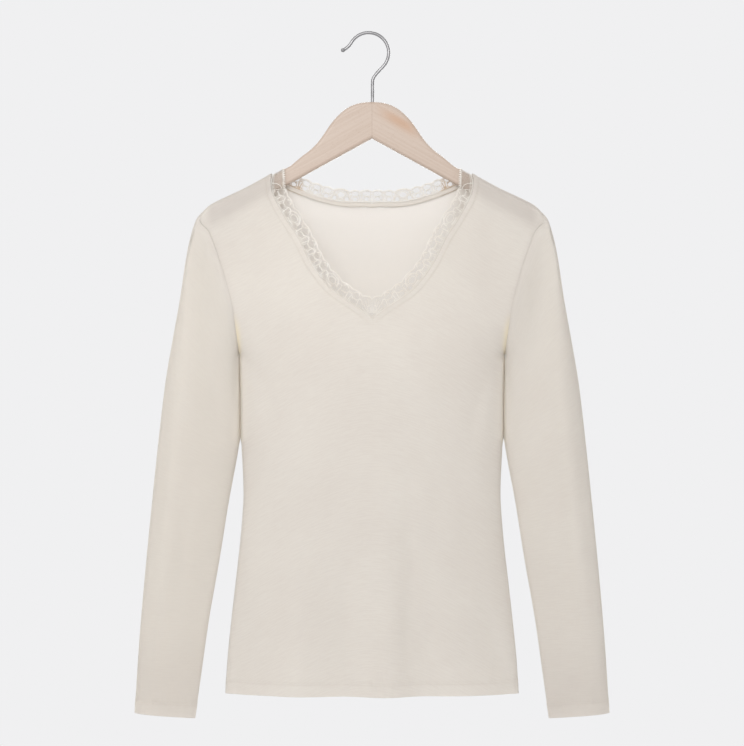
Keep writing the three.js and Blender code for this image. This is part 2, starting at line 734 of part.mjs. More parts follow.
// The hook's wire: a flared end, most of a circle, a bend in to the middle, and the shank
function hook() {
  const inside = HOOK.radius - WIRE_RADIUS;
  const centre = new THREE.Vector3(HOOK.x, 0, -Math.sqrt(inside ** 2 - HOOK.x ** 2));
  const rim = (angle) =>
    new THREE.Vector3(Math.cos(angle), 0, Math.sin(angle)).multiplyScalar(HOOK.radius).add(centre);
  const beyond = (angle, step) =>
    new THREE.Vector3(Math.sin(angle), 0, -Math.cos(angle)).multiplyScalar(step).add(rim(angle));
  const tip = rim(FLARE.angle).add(new THREE.Vector3(-FLARE.out, 0, -FLARE.down));
  const flare = new THREE.QuadraticBezierCurve3(tip, beyond(FLARE.angle, -FLARE.pull), rim(FLARE.angle));
  const points = flare.getPoints(5).slice(0, -1);
  for (let i = 0; i < HOOK.arcSteps; i += 1) {
    points.push(rim(lerp(FLARE.angle, BEND.angle, i / HOOK.arcSteps)));
  }
  const shankTop = new THREE.Vector3(SHANK.x, 0, centre.z - BEND.drop);
  const aboveShank = shankTop.clone().add(new THREE.Vector3(0, 0, BEND.shankPull));
  const rimEnd = beyond(BEND.angle, BEND.pull);
  const bend = new THREE.CubicBezierCurve3(rim(BEND.angle), rimEnd, aboveShank, shankTop);
  points.push(...bend.getPoints(8));
  points.push(new THREE.Vector3(SHANK.x, 0, SHANK.clear - WOOD_TOP[0].down - SHANK.seat));
  const path = new THREE.CurvePath();
  for (let i = 1; i < points.length; i += 1) path.add(new THREE.LineCurve3(points[i - 1], points[i]));
  const section = new THREE.Shape().absarc(0, 0, WIRE_RADIUS, 0, 2 * Math.PI);
  const wire = new THREE.ExtrudeGeometry(section, { steps: 54, curveSegments: 5, extrudePath: path });
  const end = new THREE.SphereGeometry(HOOK.tipRadius, 10, 8).translate(tip.x, tip.y, tip.z);
  return toGeometry(toSolid(wire).add(toSolid(end)));
}

const FINISH = {
  cloth: { color: 0xe6dfd3, roughness: 0.9, metalness: 0 },
  lace: { color: 0xe9e2d8, roughness: 0.85, metalness: 0 },
  wood: { color: 0xd9c6b2, roughness: 0.5, metalness: 0 },
  steel: { color: 0xb4b2b0, roughness: 0.25, metalness: 1 },
};

const top = new THREE.Group();

// Adds one piece to the top, with a material of its own
function add(name, geometry, finish) {
  const mesh = new THREE.Mesh(geometry, new THREE.MeshStandardMaterial(FINISH[finish]));
  mesh.name = name;
  top.add(mesh);
}

const panels = { front: panel(FRONT), back: panel(BACK) };
const sleeves = { left: sleeve(LEFT), right: sleeve(RIGHT) };
shareNormals([panels.front, panels.back, sleeves.left, sleeves.right]);
add("front", panels.front.shift(new THREE.Vector3(0, -SEAM_GAP / 2, 0)).solid(), "cloth");
add("back", panels.back.shift(new THREE.Vector3(0, SEAM_GAP / 2, 0)).solid(), "cloth");
add("sleeve_right", sleeves.right.shift(SLEEVE_SEAM).solid(), "cloth");
add("sleeve_left", sleeves.left.shift(SLEEVE_SEAM.clone().setX(-SLEEVE_SEAM.x)).solid(), "cloth");

const seamStep = (half, side) => new THREE.Vector3((half * SEAM_GAP) / 2, (side * SEAM_GAP) / 2, 0);
add("lace_front_right", addLace(new Sheet(), FRONT, RIGHT).shift(seamStep(RIGHT, FRONT)).solid(), "lace");
add("lace_front_left", addLace(new Sheet(), FRONT, LEFT).shift(seamStep(LEFT, FRONT)).solid(), "lace");
const backLace = addLace(addLace(new Sheet(), BACK, LEFT), BACK, RIGHT);
add("lace_back", backLace.shift(seamStep(0, BACK)).solid(), "lace");
add("neck_binding", binding().shift(seamStep(0, BACK)).solid(), "cloth");

add("hanger_wood", wood(), "wood");
add("hanger_hook", hook(), "steel");

export default top;
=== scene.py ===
"""A cream thermal top with a lace V neck, on a wooden clothes hanger, dressed for a studio picture.

Tables and sizes are in millimetres and meshes are made in metres. The front faces -Y. Left and right are as
seen from the front. "down" is a distance below the point of the hook's inside that a rail carries.
"""

import logging
import math
from dataclasses import dataclass, field
from enum import Enum
from typing import Callable, NamedTuple, Sequence

import bpy
import numpy as np
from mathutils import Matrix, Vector


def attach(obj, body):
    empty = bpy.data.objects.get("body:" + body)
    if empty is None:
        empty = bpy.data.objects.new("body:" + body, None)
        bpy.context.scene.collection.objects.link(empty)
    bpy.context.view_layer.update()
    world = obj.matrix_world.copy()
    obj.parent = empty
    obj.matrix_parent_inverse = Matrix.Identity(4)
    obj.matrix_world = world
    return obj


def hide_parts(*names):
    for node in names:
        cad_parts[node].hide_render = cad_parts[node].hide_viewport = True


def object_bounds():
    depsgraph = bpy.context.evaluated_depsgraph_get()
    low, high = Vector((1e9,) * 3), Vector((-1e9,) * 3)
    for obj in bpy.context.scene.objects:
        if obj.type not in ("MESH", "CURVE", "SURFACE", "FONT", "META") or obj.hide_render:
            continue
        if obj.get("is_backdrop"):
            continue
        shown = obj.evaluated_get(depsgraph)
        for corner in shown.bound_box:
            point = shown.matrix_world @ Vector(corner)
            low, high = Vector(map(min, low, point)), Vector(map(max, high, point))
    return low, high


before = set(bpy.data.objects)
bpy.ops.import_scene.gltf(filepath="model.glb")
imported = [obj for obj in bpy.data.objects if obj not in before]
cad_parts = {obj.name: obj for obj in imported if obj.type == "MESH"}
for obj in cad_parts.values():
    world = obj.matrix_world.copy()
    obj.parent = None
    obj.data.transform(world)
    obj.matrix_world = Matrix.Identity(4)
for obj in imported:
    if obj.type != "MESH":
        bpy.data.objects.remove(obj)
CAD_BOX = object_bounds()

logging.basicConfig(level=logging.INFO, format="%(levelname)s %(message)s")
LOG = logging.getLogger("thermal_top")

MM = 0.001
FAR = 99.0
EYE_LEVEL = -0.4060

# The wood's underside: how far down it is in the middle, and how steeply it falls from there
HANGER_APEX = 124.9
HANGER_SLOPE = 0.5475

Array = np.ndarray


class Side(Enum):
    """The garment's front and back; the value is the direction along Y."""

    FRONT = -1
    BACK = 1


class Half(Enum):
    """Left and right as seen from the front; the value is the direction along X."""

    LEFT = -1
    RIGHT = 1


def smooth(part: Array | float) -> Array | float:
    """Ease in and out between 0 and 1."""
    t = np.clip(part, 0.0, 1.0)
    return t * t * (3 - 2 * t)


def blend(a: Array | float, b: Array | float, part: Array | float) -> Array | float:
    """Mix a and b by part, from 0 to 1."""
    return a + (b - a) * part


def bell(distance: Array | float, width: float) -> Array | float:
    """A soft bump: 1 at no distance, and nearly 0 beyond twice the width."""
    return np.exp(-((distance / width) ** 2))


def measure(points: Array) -> Array:
    """Lengths along a path of points, from 0."""
    steps = np.linalg.norm(np.diff(points, axis=0), axis=1)
    return np.concatenate([[0.0], np.cumsum(steps)])


def read_rows(keys: Array, rows: Array, at: Array) -> Array:
    """Read each column of rows at places between their keys."""
    return np.stack([np.interp(at, keys, column) for column in rows.T], axis=-1)


def table(kind: type, *rows: tuple) -> list:
    """A table's rows, each made into its own kind."""
    return [kind(*row) for row in rows]


def unit(vectors: Array) -> Array:
    """Scale each vector to length 1."""
    return vectors / np.maximum(np.linalg.norm(vectors, axis=-1, keepdims=True), 1e-9)


class SmoothCurve:
    """A smooth curve through rows of numbers: one column as a function of another."""

    def __init__(self, rows: Sequence[NamedTuple], key: str, value: str) -> None:
        """Read the curve's knots.

        Args:
            rows: the table, in rising order of key.
            key: the name of the column that the curve is read by.
            value: the name of the column that it gives.
        """
        self.keys = np.array([getattr(row, key) for row in rows], float)
        self.values = np.array([getattr(row, value) for row in rows], float)
        knots = np.arange(len(rows))
        low, high = np.maximum(knots - 1, 0), np.minimum(knots + 1, knots[-1])
        self.slopes = (self.values[high] - self.values[low]) / (self.keys[high] - self.keys[low])

    def __call__(self, x: Array | float) -> Array:
        """Give the curve's value at x, which is held inside the table."""
        inside = np.clip(x, self.keys[0], self.keys[-1])
        after = np.clip(np.searchsorted(self.keys, inside), 1, len(self.keys) - 1)
        step = self.keys[after] - self.keys[after - 1]
        u = (inside - self.keys[after - 1]) / step
        leave = u * (1 - u) ** 2 * step * self.slopes[after - 1]
        arrive = u * u * (u - 1) * step * self.slopes[after]
        return blend(self.values[after - 1], self.values[after], smooth(u)) + leave + arrive


class Outline(NamedTuple):
    """A row of an edge seen from the front: a distance out from the middle and one down."""

    out: float
    down: float


class BodyRow(NamedTuple):
    """The body at a height: its half width, and its half depths in front and behind."""

    down: float
    side: float
    front: float
    back: float


class DepthRow(NamedTuple):
    """A half depth at a share of a length."""

    along: float
    depth: float


class Fold(NamedTuple):
    """A soft fold of the body that deepens towards the hem, crossing from top_x to hem_x."""

    top_x: float
    hem_x: float
    top: float
    height: float
    width: float


class SleeveFold(NamedTuple):
    """A soft fold along the sleeve, at a turn from 0 at its outer edge to 1 at its inner edge."""

    turn: float
    start: float
    end: float
    height: float
    width: float
    drift: float = 0.0


class Crease(NamedTuple):
    """A shallow crease or ridge between two places of the body, bowed sideways by bow."""

    x0: float
    down0: float
    x1: float
    down1: float
    height: float
    width: float
    bow: float = 0.0


SHOULDER_LINE = table(
    Outline,
    (0, 120), (10, 120.5), (40, 128), (75, 142), (97.8, 153.6), (115.8, 163.6), (152.4, 183.6),
    (193.2, 203.4), (205, 213.5),
)
BODY_ROWS = table(
    BodyRow,
    (120, 205, 24, 20), (214, 205, 34, 27), (238, 194.4, 37, 30), (270, 182.4, 40, 33),
    (310, 170.4, 43, 36), (342, 164.4, 45, 38), (384, 159.6, 46, 39), (438, 157.8, 44, 37),
    (486, 157.2, 42, 35), (534, 155, 41, 34), (558, 154.8, 40.5, 34), (606, 158.4, 40, 34.5),
    (654, 163.8, 40, 35), (702, 169.2, 40, 36), (750, 174, 40, 36.5), (790, 176.2, 40, 37),
)
BODY_FOLDS = {
    Side.FRONT: table(
        Fold,
        (-84, -92, 540, 7, 26), (-40, -32, 560, -6, 22), (13, 17, 520, 8, 24), (54, 62, 550, -7, 24),
        (-122, -166, 600, -5, 13), (118, 166, 610, -6, 13),
    ),
    Side.BACK: table(
        Fold,
        (-70, -82, 500, 7, 27), (-22, -28, 560, -6, 22), (24, 22, 470, 8, 26), (72, 74, 580, -7, 23),
        (120, 132, 560, 5, 22), (-112, -140, 610, -5, 16),
    ),
}
NECK_EDGE = {
    Side.FRONT: table(
        Outline,
        (0, 342.4), (17.6, 329), (43.8, 311), (58.8, 295.6), (74.4, 273), (88.8, 244), (103.2, 222),
        (118.2, 194), (120.9, 180), (121, 0),
    ),
    Side.BACK: table(
        Outline,
        (0, 200.8), (26, 200.2), (48, 197.8), (73, 191), (94, 183), (106, 177), (114, 172.3), (119, 168.4),
        (121, 0),
    ),
}
WOOD_TOP = table(
    Outline,
    (0, 80.8), (12, 81.7), (24, 85), (34, 91), (44, 100.5), (52, 110.5), (60.6, 124.4), (71.4, 136.4),
    (84.6, 147),
)
SLEEVE_OUTER = table(
    Outline,
    (205, 213.5), (211, 222), (218.4, 246), (223.2, 270), (230.4, 318), (239, 366), (247.2, 414),
    (253.2, 462), (261, 534), (270.6, 630), (279, 726), (284.6, 813),
)
SLEEVE_INNER = table(
    Outline,
    (159.6, 384), (160.1, 402), (159, 438), (158.6, 486), (162, 510), (171, 558), (182.6, 630),
    (195.2, 702), (205.4, 774), (212, 820),
)
SLEEVE_DEPTH = table(
    DepthRow,
    (0, 24), (0.2, 31), (0.4, 30), (0.6, 25), (0.8, 19), (1, 14),
)
SLEEVE_FOLDS = {
    Side.FRONT: table(
        SleeveFold,
        (0.62, 0.12, 0.52, -3, 0.16), (0.75, 0.5, 0.98, -2, 0.14), (0.2, 0.16, 0.99, -1.5, 0.07, 0.05),
        (0.34, 0.1, 0.99, 1.3, 0.08, 0.07), (0.5, 0.45, 0.93, -0.9, 0.07, -0.04),
        (0.86, 0.02, 0.34, -1.6, 0.07, 0.05),
    ),
    Side.BACK: table(
        SleeveFold,
        (0.55, 0.2, 0.62, -3, 0.16), (0.4, 0.58, 0.98, -2.4, 0.15), (0.24, 0.12, 0.9, -1.2, 0.08, 0.06),
        (0.68, 0.3, 0.98, 1.1, 0.09, -0.05), (0.84, 0.02, 0.3, -1.4, 0.08, 0.04),
    ),
}

# Shallow drag lines of the hanging cloth: from the underarms and shoulders, and loose ones above the hem
BODY_CREASES = {
    Side.FRONT: table(
        Crease,
        (-154, 392, -112, 470, -1.5, 9, 8), (152, 394, 118, 486, -1.4, 10, -8),
        (-150, 430, -120, 560, 0.9, 12, 5), (150, 420, 124, 545, 0.9, 11, -6),
        (-171, 300, -120, 372, -1.1, 10, 6), (171, 306, 126, 384, -1.0, 11, -6),
        (-118, 200, -86, 300, -0.7, 9, 4), (118, 202, 92, 310, -0.8, 10, -4),
        (-64, 470, -62, 680, -1.3, 15, 4), (-18, 610, -14, 782, 0.8, 11, -3),
        (40, 520, 42, 788, -1.9, 11, 3), (92, 560, 104, 760, 1.1, 14, -4),
        (-104, 640, -112, 788, -1.0, 12, 3), (-4, 352, -10, 500, -0.6, 12, 5),
        (70, 330, 60, 470, 0.6, 15, -6), (138, 690, 128, 786, -0.9, 9, 2),
    ),
    Side.BACK: table(
        Crease,
        (-154, 392, -104, 480, -1.5, 10, 8), (152, 396, 110, 470, -1.3, 10, -9),
        (-60, 230, -44, 420, -1.0, 14, 6), (48, 236, 40, 400, -0.8, 13, -5),
        (-128, 250, -96, 380, 0.8, 12, 5), (126, 244, 100, 360, 0.8, 12, -6),
        (-6, 440, -2, 640, -1.5, 13, 5), (66, 520, 54, 700, 0.9, 12, -4),
        (-98, 560, -104, 780, -1.3, 12, 3), (46, 650, 50, 788, -1.2, 10, 2),
    ),
}


@dataclass
class BodyForm:
    """The hanging body's surface, by a place across and a length of cloth below the shoulder."""

    hem_down: float = 790.0
    underarm_down: float = 384.0
    shoulder_tip: float = 205.0
    cap_neck: float = 10.4
    cap_shoulder: float = 8.6
    cap_from: float = 124.0
    cap_to: float = 150.0
    fall: float = 170.0
    round_power: float = 0.6
    hole_top: float = 214.0
    hole_deep: float = 300.0
    hole_top_depth: float = 8.0
    hole_depth: float = 22.0
    hole_spread: float = 0.9

    def __post_init__(self) -> None:
        """Make the curves from the tables."""
        self.shoulder_down = SmoothCurve(SHOULDER_LINE, "out", "down")
        self.side_out = SmoothCurve(BODY_ROWS, "down", "side")
        self.middle_depth = {side: SmoothCurve(BODY_ROWS, "down", side.name.lower()) for side in Side}

    def cap_radius(self, out: Array) -> Array:
        """Radius of the cloth's turn over the hanger's arm, at a distance out."""
        part = smooth((out - self.cap_from) / (self.cap_to - self.cap_from))
        return blend(self.cap_neck, self.cap_shoulder, part)

    def drop_after(self, out: Array, length: Array) -> Array:
        """How far the cloth drops over a length of it, first round the hanger's arm."""
        radius = self.cap_radius(out)
        quarter = radius * math.pi / 2
        round_part = radius * (1 - np.cos(np.minimum(length / radius, math.pi / 2)))
        return np.where(length < quarter, round_part, radius + length - quarter)

    def length_to(self, out: Array, down: Array) -> Array:
        """Length of cloth between the shoulder line and a height."""
        radius = self.cap_radius(out)
        drop = np.maximum(down - self.shoulder_down(out), 0)
        turn = radius * np.arccos(np.clip(1 - drop / radius, -1, 1))
        return np.where(drop < radius, turn, radius * math.pi / 2 + drop - radius)

    def hole_gap(self, down: Array) -> Array:
        """Half the gap between front and back along the armhole."""
        open_part = smooth((down - self.hole_top) / (self.hole_deep - self.hole_top))
        upper = blend(self.hole_top_depth, self.hole_depth, open_part)
        closing = np.clip((down - self.hole_deep) / (self.underarm_down - self.hole_deep), 0, 1)
        return np.where(down < self.hole_deep, upper, self.hole_depth * np.sqrt(1 - closing * closing))

    def folds(self, side: Side, x: Array, down: Array) -> Array:
        """Height of the soft folds and of the shallow creases at a point."""
        at_edge = np.minimum(np.abs(x) / self.side_out(down), 1) ** 8
        height = np.zeros_like(x)
        for fold in BODY_FOLDS[side]:
            along = (down - fold.top) / (self.hem_down - fold.top)
            height += fold.height * smooth(along) * bell(x - blend(fold.top_x, fold.hem_x, along), fold.width)
        for crease in BODY_CREASES[side]:
            height += self.crease(crease, x, down)
        return height * (1 - at_edge)

    @staticmethod
    def crease(crease: Crease, x: Array, down: Array) -> Array:
        """Height of one crease at a point."""
        dx, dd = crease.x1 - crease.x0, crease.down1 - crease.down0
        length = math.hypot(dx, dd)
        along = ((x - crease.x0) * dx + (down - crease.down0) * dd) / length**2
        inside = np.clip(along, 0, 1)
        bow = crease.bow * np.sin(inside * math.pi)
        across = ((x - crease.x0) * dd - (down - crease.down0) * dx) / length - bow
        beyond = (along - inside) * length
        spread = (across**2 + beyond**2) / crease.width**2
        return crease.height * (0.25 + 0.75 * np.sin(inside * math.pi)) * np.exp(-spread)

    def point(self, side: Side, x: Array, length: Array) -> Array:
        """Points of the cloth's outer face.

        Args:
            side: the front or the back panel.
            x: places across, from the middle.
            length: lengths of cloth below the shoulder line.

        Returns:
            An array of points, in millimetres.
        """
        out = np.abs(x)
        radius = self.cap_radius(out)
        drop = self.drop_after(out, length)
        down = self.shoulder_down(out) + drop
        cap = radius * np.sin(np.minimum(length / radius, math.pi / 2))
        width = self.side_out(down)
        edge = self.hole_gap(down - self.hole_spread * np.maximum(width - out, 0))
        crown = np.maximum(1 - (out / width) ** 2, 0) ** self.round_power
        full = np.cbrt(edge**3 + (self.middle_depth[side](down) ** 3 - edge**3) * crown**3)
        depth = blend(cap, full, smooth(drop / self.fall)) + self.folds(side, x, down)
        return np.stack([x, side.value * depth, -down], axis=-1)

    def normal(self, side: Side, x: Array, length: Array, step: float = 0.5) -> Array:
        """Outward directions of the cloth's face."""
        across = self.point(side, x + step, length) - self.point(side, x - step, length)
        low = np.maximum(length - step, 0)
        downwards = self.point(side, x, length + step) - self.point(side, x, low)
        return unit(np.cross(downwards, across) * -side.value)


BODY = BodyForm()


@dataclass
class ArmholeForm:
    """The armhole's edge from the shoulder tip to the underarm, read by row numbers from 0 to its last."""

    cap_lengths: tuple[float, ...] = (0, 4, 8, 12, 17)
    downs: tuple[float, ...] = (238, 262, 288, 316, 342, 364, 378, 384)

    class Row(NamedTuple):
        """A knot of the edge: its row number, its place across and its length of cloth."""

        row: float
        x: float
        length: float

    def __post_init__(self) -> None:
        """Fit curves to the rows."""
        rows = [self.Row(i, BODY.shoulder_tip, length) for i, length in enumerate(self.cap_lengths)]
        for i, down in enumerate(self.downs):
            out = float(BODY.side_out(down))
            rows.append(self.Row(i + len(self.cap_lengths), out, float(BODY.length_to(out, down))))
        self.last = len(rows) - 1
        self.x = SmoothCurve(rows, "row", "x")
        self.length = SmoothCurve(rows, "row", "length")


ARMHOLE = ArmholeForm()


@dataclass
class NeckForm:
    """One side of the neck edge, as a path on the cloth from the middle up to the shoulder line."""

    side: Side
    fan_length: float
    steps: int = 640
    span: float = 3.0
    seam_ease: float = 5.0

    def __post_init__(self) -> None:
        """Lay the edge out flat, then measure it on the cloth."""
        edge = NECK_EDGE[self.side]
        knots = np.array([[row.out, float(BODY.length_to(row.out, row.down))] for row in edge])
        self.flat = self._spline(knots, self.steps)
        self.flat_lengths = measure(self.flat)
        self.flat_total = self.flat_lengths[-1]
        even = np.linspace(0, self.flat_total, self.steps)
        x, length = self.flat_at(even).T
        self.points = BODY.point(self.side, x, length)
        self.normals = BODY.normal(self.side, x, length)
        self.lengths = measure(self.points)
        self.total = float(self.lengths[-1])

    @staticmethod
    def _spline(knots: Array, count: int) -> Array:
        """A smooth line through knots, with its ends doubled.

        Args:
            knots: the points that the line passes through.
            count: how many points to give.

        Returns:
            Points spread evenly over the knots' numbers.
        """
        place = np.linspace(0, len(knots) - 1, count)
        low = np.minimum(place.astype(int), len(knots) - 2)
        t = (place - low)[:, None]
        last = len(knots) - 1
        before, a = knots[np.maximum(low - 1, 0)], knots[low]
        b, after = knots[low + 1], knots[np.minimum(low + 2, last)]
        v0, v1 = (b - before) / 2, (after - a) / 2
        return (2 * a - 2 * b + v0 + v1) * t**3 + (-3 * a + 3 * b - 2 * v0 - v1) * t**2 + v0 * t + a

    def flat_at(self, length: Array) -> Array:
        """Places on the flat edge, (x, length of cloth), at lengths from the middle."""
        return read_rows(self.flat_lengths, self.flat, length)

    def _spot(self, length: Array) -> tuple[Array, Array]:
        """Points and normals at lengths along the edge."""
        normal = read_rows(self.lengths, self.normals, length)
        return read_rows(self.lengths, self.points, length), unit(normal)

    def strip(self, length: Array, into: Array, under: Array) -> Array:
        """Points of a strip that follows the neck's right half.

        Args:
            length: lengths along the edge, from the middle.
            into: distances from the fabric's edge into the opening.
            under: depths below the fabric's outer face.

        Returns:
            An array of points, in millimetres.
        """
        point, normal = self._spot(length)
        along = unit(self._spot(length + self.span)[0] - self._spot(length - self.span)[0])
        way = np.cross(normal, along) * -self.side.value
        fan = np.maximum(1 - length / self.fan_length, 0)[:, None]
        upright = np.stack([np.zeros_like(length), way[:, 1], np.ones_like(length)], axis=-1)
        way = blend(way, upright, fan)
        to_seam = smooth((self.total - length) / self.seam_ease)
        way[:, 1] *= to_seam
        normal[:, 1] *= to_seam
        return point + unit(way) * into[:, None] - unit(normal) * under[:, None]

    def whole(self, place: Array, into: Array, under: Array) -> Array:
        """Points of a strip that follows the whole neck: place is negative on the left half."""
        points = self.strip(np.abs(place), into, under)
        points[:, 0] *= np.where(place < 0, -1, 1)
        return points


NECK = {Side.FRONT: NeckForm(Side.FRONT, 30.0), Side.BACK: NeckForm(Side.BACK, 6.0)}


@dataclass
class SleeveForm:
    """The surface of one sleeve, as a function of a row round the armhole and a share of its length."""

    half: Half
    cuff_outer: float = 813.0
    cuff_inner: float = 820.0
    ease_bow: float = 0.3
    ease_turn: float = 0.4
    ease_depth: float = 0.35
    lag_armhole: float = 1.3
    lag_cuff: float = 1.5
    lean: float = 0.5

    def __post_init__(self) -> None:
        """Make the curves from the tables."""
        self.outer_out = SmoothCurve(SLEEVE_OUTER, "down", "out")
        self.inner_out = SmoothCurve(SLEEVE_INNER, "down", "out")
        self.depth = SmoothCurve(SLEEVE_DEPTH, "along", "depth")
        self.tip = BODY.point(Side.FRONT, np.array([ARMHOLE.x(0)]), np.array([0.0]))[0]
        last = np.array([float(ARMHOLE.last)])
        self.pit = BODY.point(Side.FRONT, ARMHOLE.x(last), ARMHOLE.length(last))[0]

    def folds(self, side: Side, turn: Array, along: Array) -> Array:
        """Height of the sleeve's folds."""
        height = np.zeros_like(turn)
        for fold in SLEEVE_FOLDS[side]:
            within = np.clip((along - fold.start) / (fold.end - fold.start), 0, 1)
            across = turn - fold.turn - fold.drift * (within - 0.5)
            height += fold.height * np.sin(within * math.pi) ** 2 * bell(across, fold.width)
        return height

    def point(self, side: Side, row: Array, along: Array) -> Array:
        """Points of the sleeve's outer face.

        Args:
            side: the sleeve's front or back half.
            row: row numbers round the armhole, from the shoulder tip to the underarm.
            along: shares of the sleeve's length, from the armhole to the cuff.

        Returns:
            An array of points, in millimetres.
        """
        start = BODY.point(side, ARMHOLE.x(row), ARMHOLE.length(row))
        chord = (self.pit - self.tip) * [1, 0, 1]
        bow = (start - self.tip) * [1, 0, 1]
        from_part = np.clip(bow @ chord / (chord @ chord), 0, 1)
        bow = (bow - from_part[:, None] * chord) * (1 - smooth(along / self.ease_bow))[:, None]
        turn_there = np.arccos(1 - 2 * from_part) / math.pi
        turn = blend(turn_there, row / ARMHOLE.last, smooth(along / self.ease_turn))
        part = (1 - np.cos(turn * math.pi)) / 2
        outer_down = blend(-self.tip[2], self.cuff_outer, along)
        lag = blend(self.lag_armhole, self.lag_cuff, along)
        inner_down = blend(-self.pit[2], self.cuff_inner, along**lag)
        out = blend(self.outer_out(outer_down), self.inner_out(inner_down), part) + bow[:, 0]
        angle = turn * math.pi
        section = np.sin(angle + self.lean * np.sin(angle))
        full = (self.depth(along) + self.folds(side, turn, along)) * section
        y = blend(start[:, 1], side.value * full, smooth(along / self.ease_depth))
        return np.stack([self.half.value * out, y, bow[:, 2] - blend(outer_down, inner_down, part)], axis=-1)


def linear(red: int, green: int, blue: int) -> tuple[float, float, float, float]:
    """Turn a colour as seen on a screen, 0 to 255, into light values."""
    parts = [c / 255 for c in (red, green, blue)]
    light = [c / 12.92 if c <= 0.04045 else ((c + 0.055) / 1.055) ** 2.4 for c in parts]
    return (light[0], light[1], light[2], 1.0)


def operator(operation: str, turned: bool = False) -> Callable:
    """Make a method of Number that adds one Math node.

    Args:
        operation: the node's operation.
        turned: whether the number itself comes after the other one.

    Returns:
        The method.
    """

    def method(number: "Number", *others: "Number | float") -> "Number":
        """Add the node and give its result."""
        values = (*others, number) if turned else (number, *others)
        return number.nodes.math(operation, *values)

    return method


class Number:
    """A number that flows between nodes: Python's operators on it add Math nodes."""

    __add__ = __radd__ = operator("ADD")
    __sub__, __rsub__ = operator("SUBTRACT"), operator("SUBTRACT", turned=True)
    __mul__ = __rmul__ = operator("MULTIPLY")
    __truediv__, __abs__ = operator("DIVIDE"), operator("ABSOLUTE")
    sine, fraction, sign = operator("SINE"), operator("FRACT"), operator("SIGN")

    def __init__(self, nodes: "Nodes", socket: bpy.types.NodeSocket) -> None:
        """Wrap an output socket of a tree."""
        self.nodes, self.socket = nodes, socket

    def ramp(self, low: float, high: float) -> "Number":
        """Ease from 0 at low to 1 at high."""
        settings = {"interpolation_type": "SMOOTHSTEP"}
        inputs = {"Value": self, "From Min": low, "From Max": high}
        made = self.nodes.node("ShaderNodeMapRange", settings, inputs)
        return Number(self.nodes, made.outputs["Result"])


class Nodes:
    """A node tree, and the one method that adds any node to it."""

    tree: bpy.types.NodeTree

    def node(self, kind: str, settings: dict | None = None, inputs: dict | None = None) -> bpy.types.Node:
        """Add a node.

        Args:
            kind: the node's type.
            settings: the node's own settings, set first.
            inputs: links or values by a socket's identifier, name or number.

        Returns:
            The node.
        """
        made = self.tree.nodes.new(kind)
        for key, value in (settings or {}).items():
            setattr(made, key, value)
        for key, value in (inputs or {}).items():
            socket = self._find(made.inputs, key)
            if isinstance(value, Number):
                value = value.socket
            if isinstance(value, bpy.types.NodeSocket):
                self.tree.links.new(value, socket)
            else:
                socket.default_value = value
        return made

    @staticmethod
    def _find(sockets: bpy.types.NodeInputs, key: str | int) -> bpy.types.NodeSocket:
        """Find a socket by number, identifier or name."""
        if isinstance(key, int):
            return sockets[key]
        return next((s for s in sockets if s.identifier == key), None) or sockets[key]

    def math(self, operation: str, *values: Number | float) -> Number:
        """Add one Math node and give its result."""
        made = self.node("ShaderNodeMath", {"operation": operation}, dict(enumerate(values)))
        return Number(self, made.outputs[0])


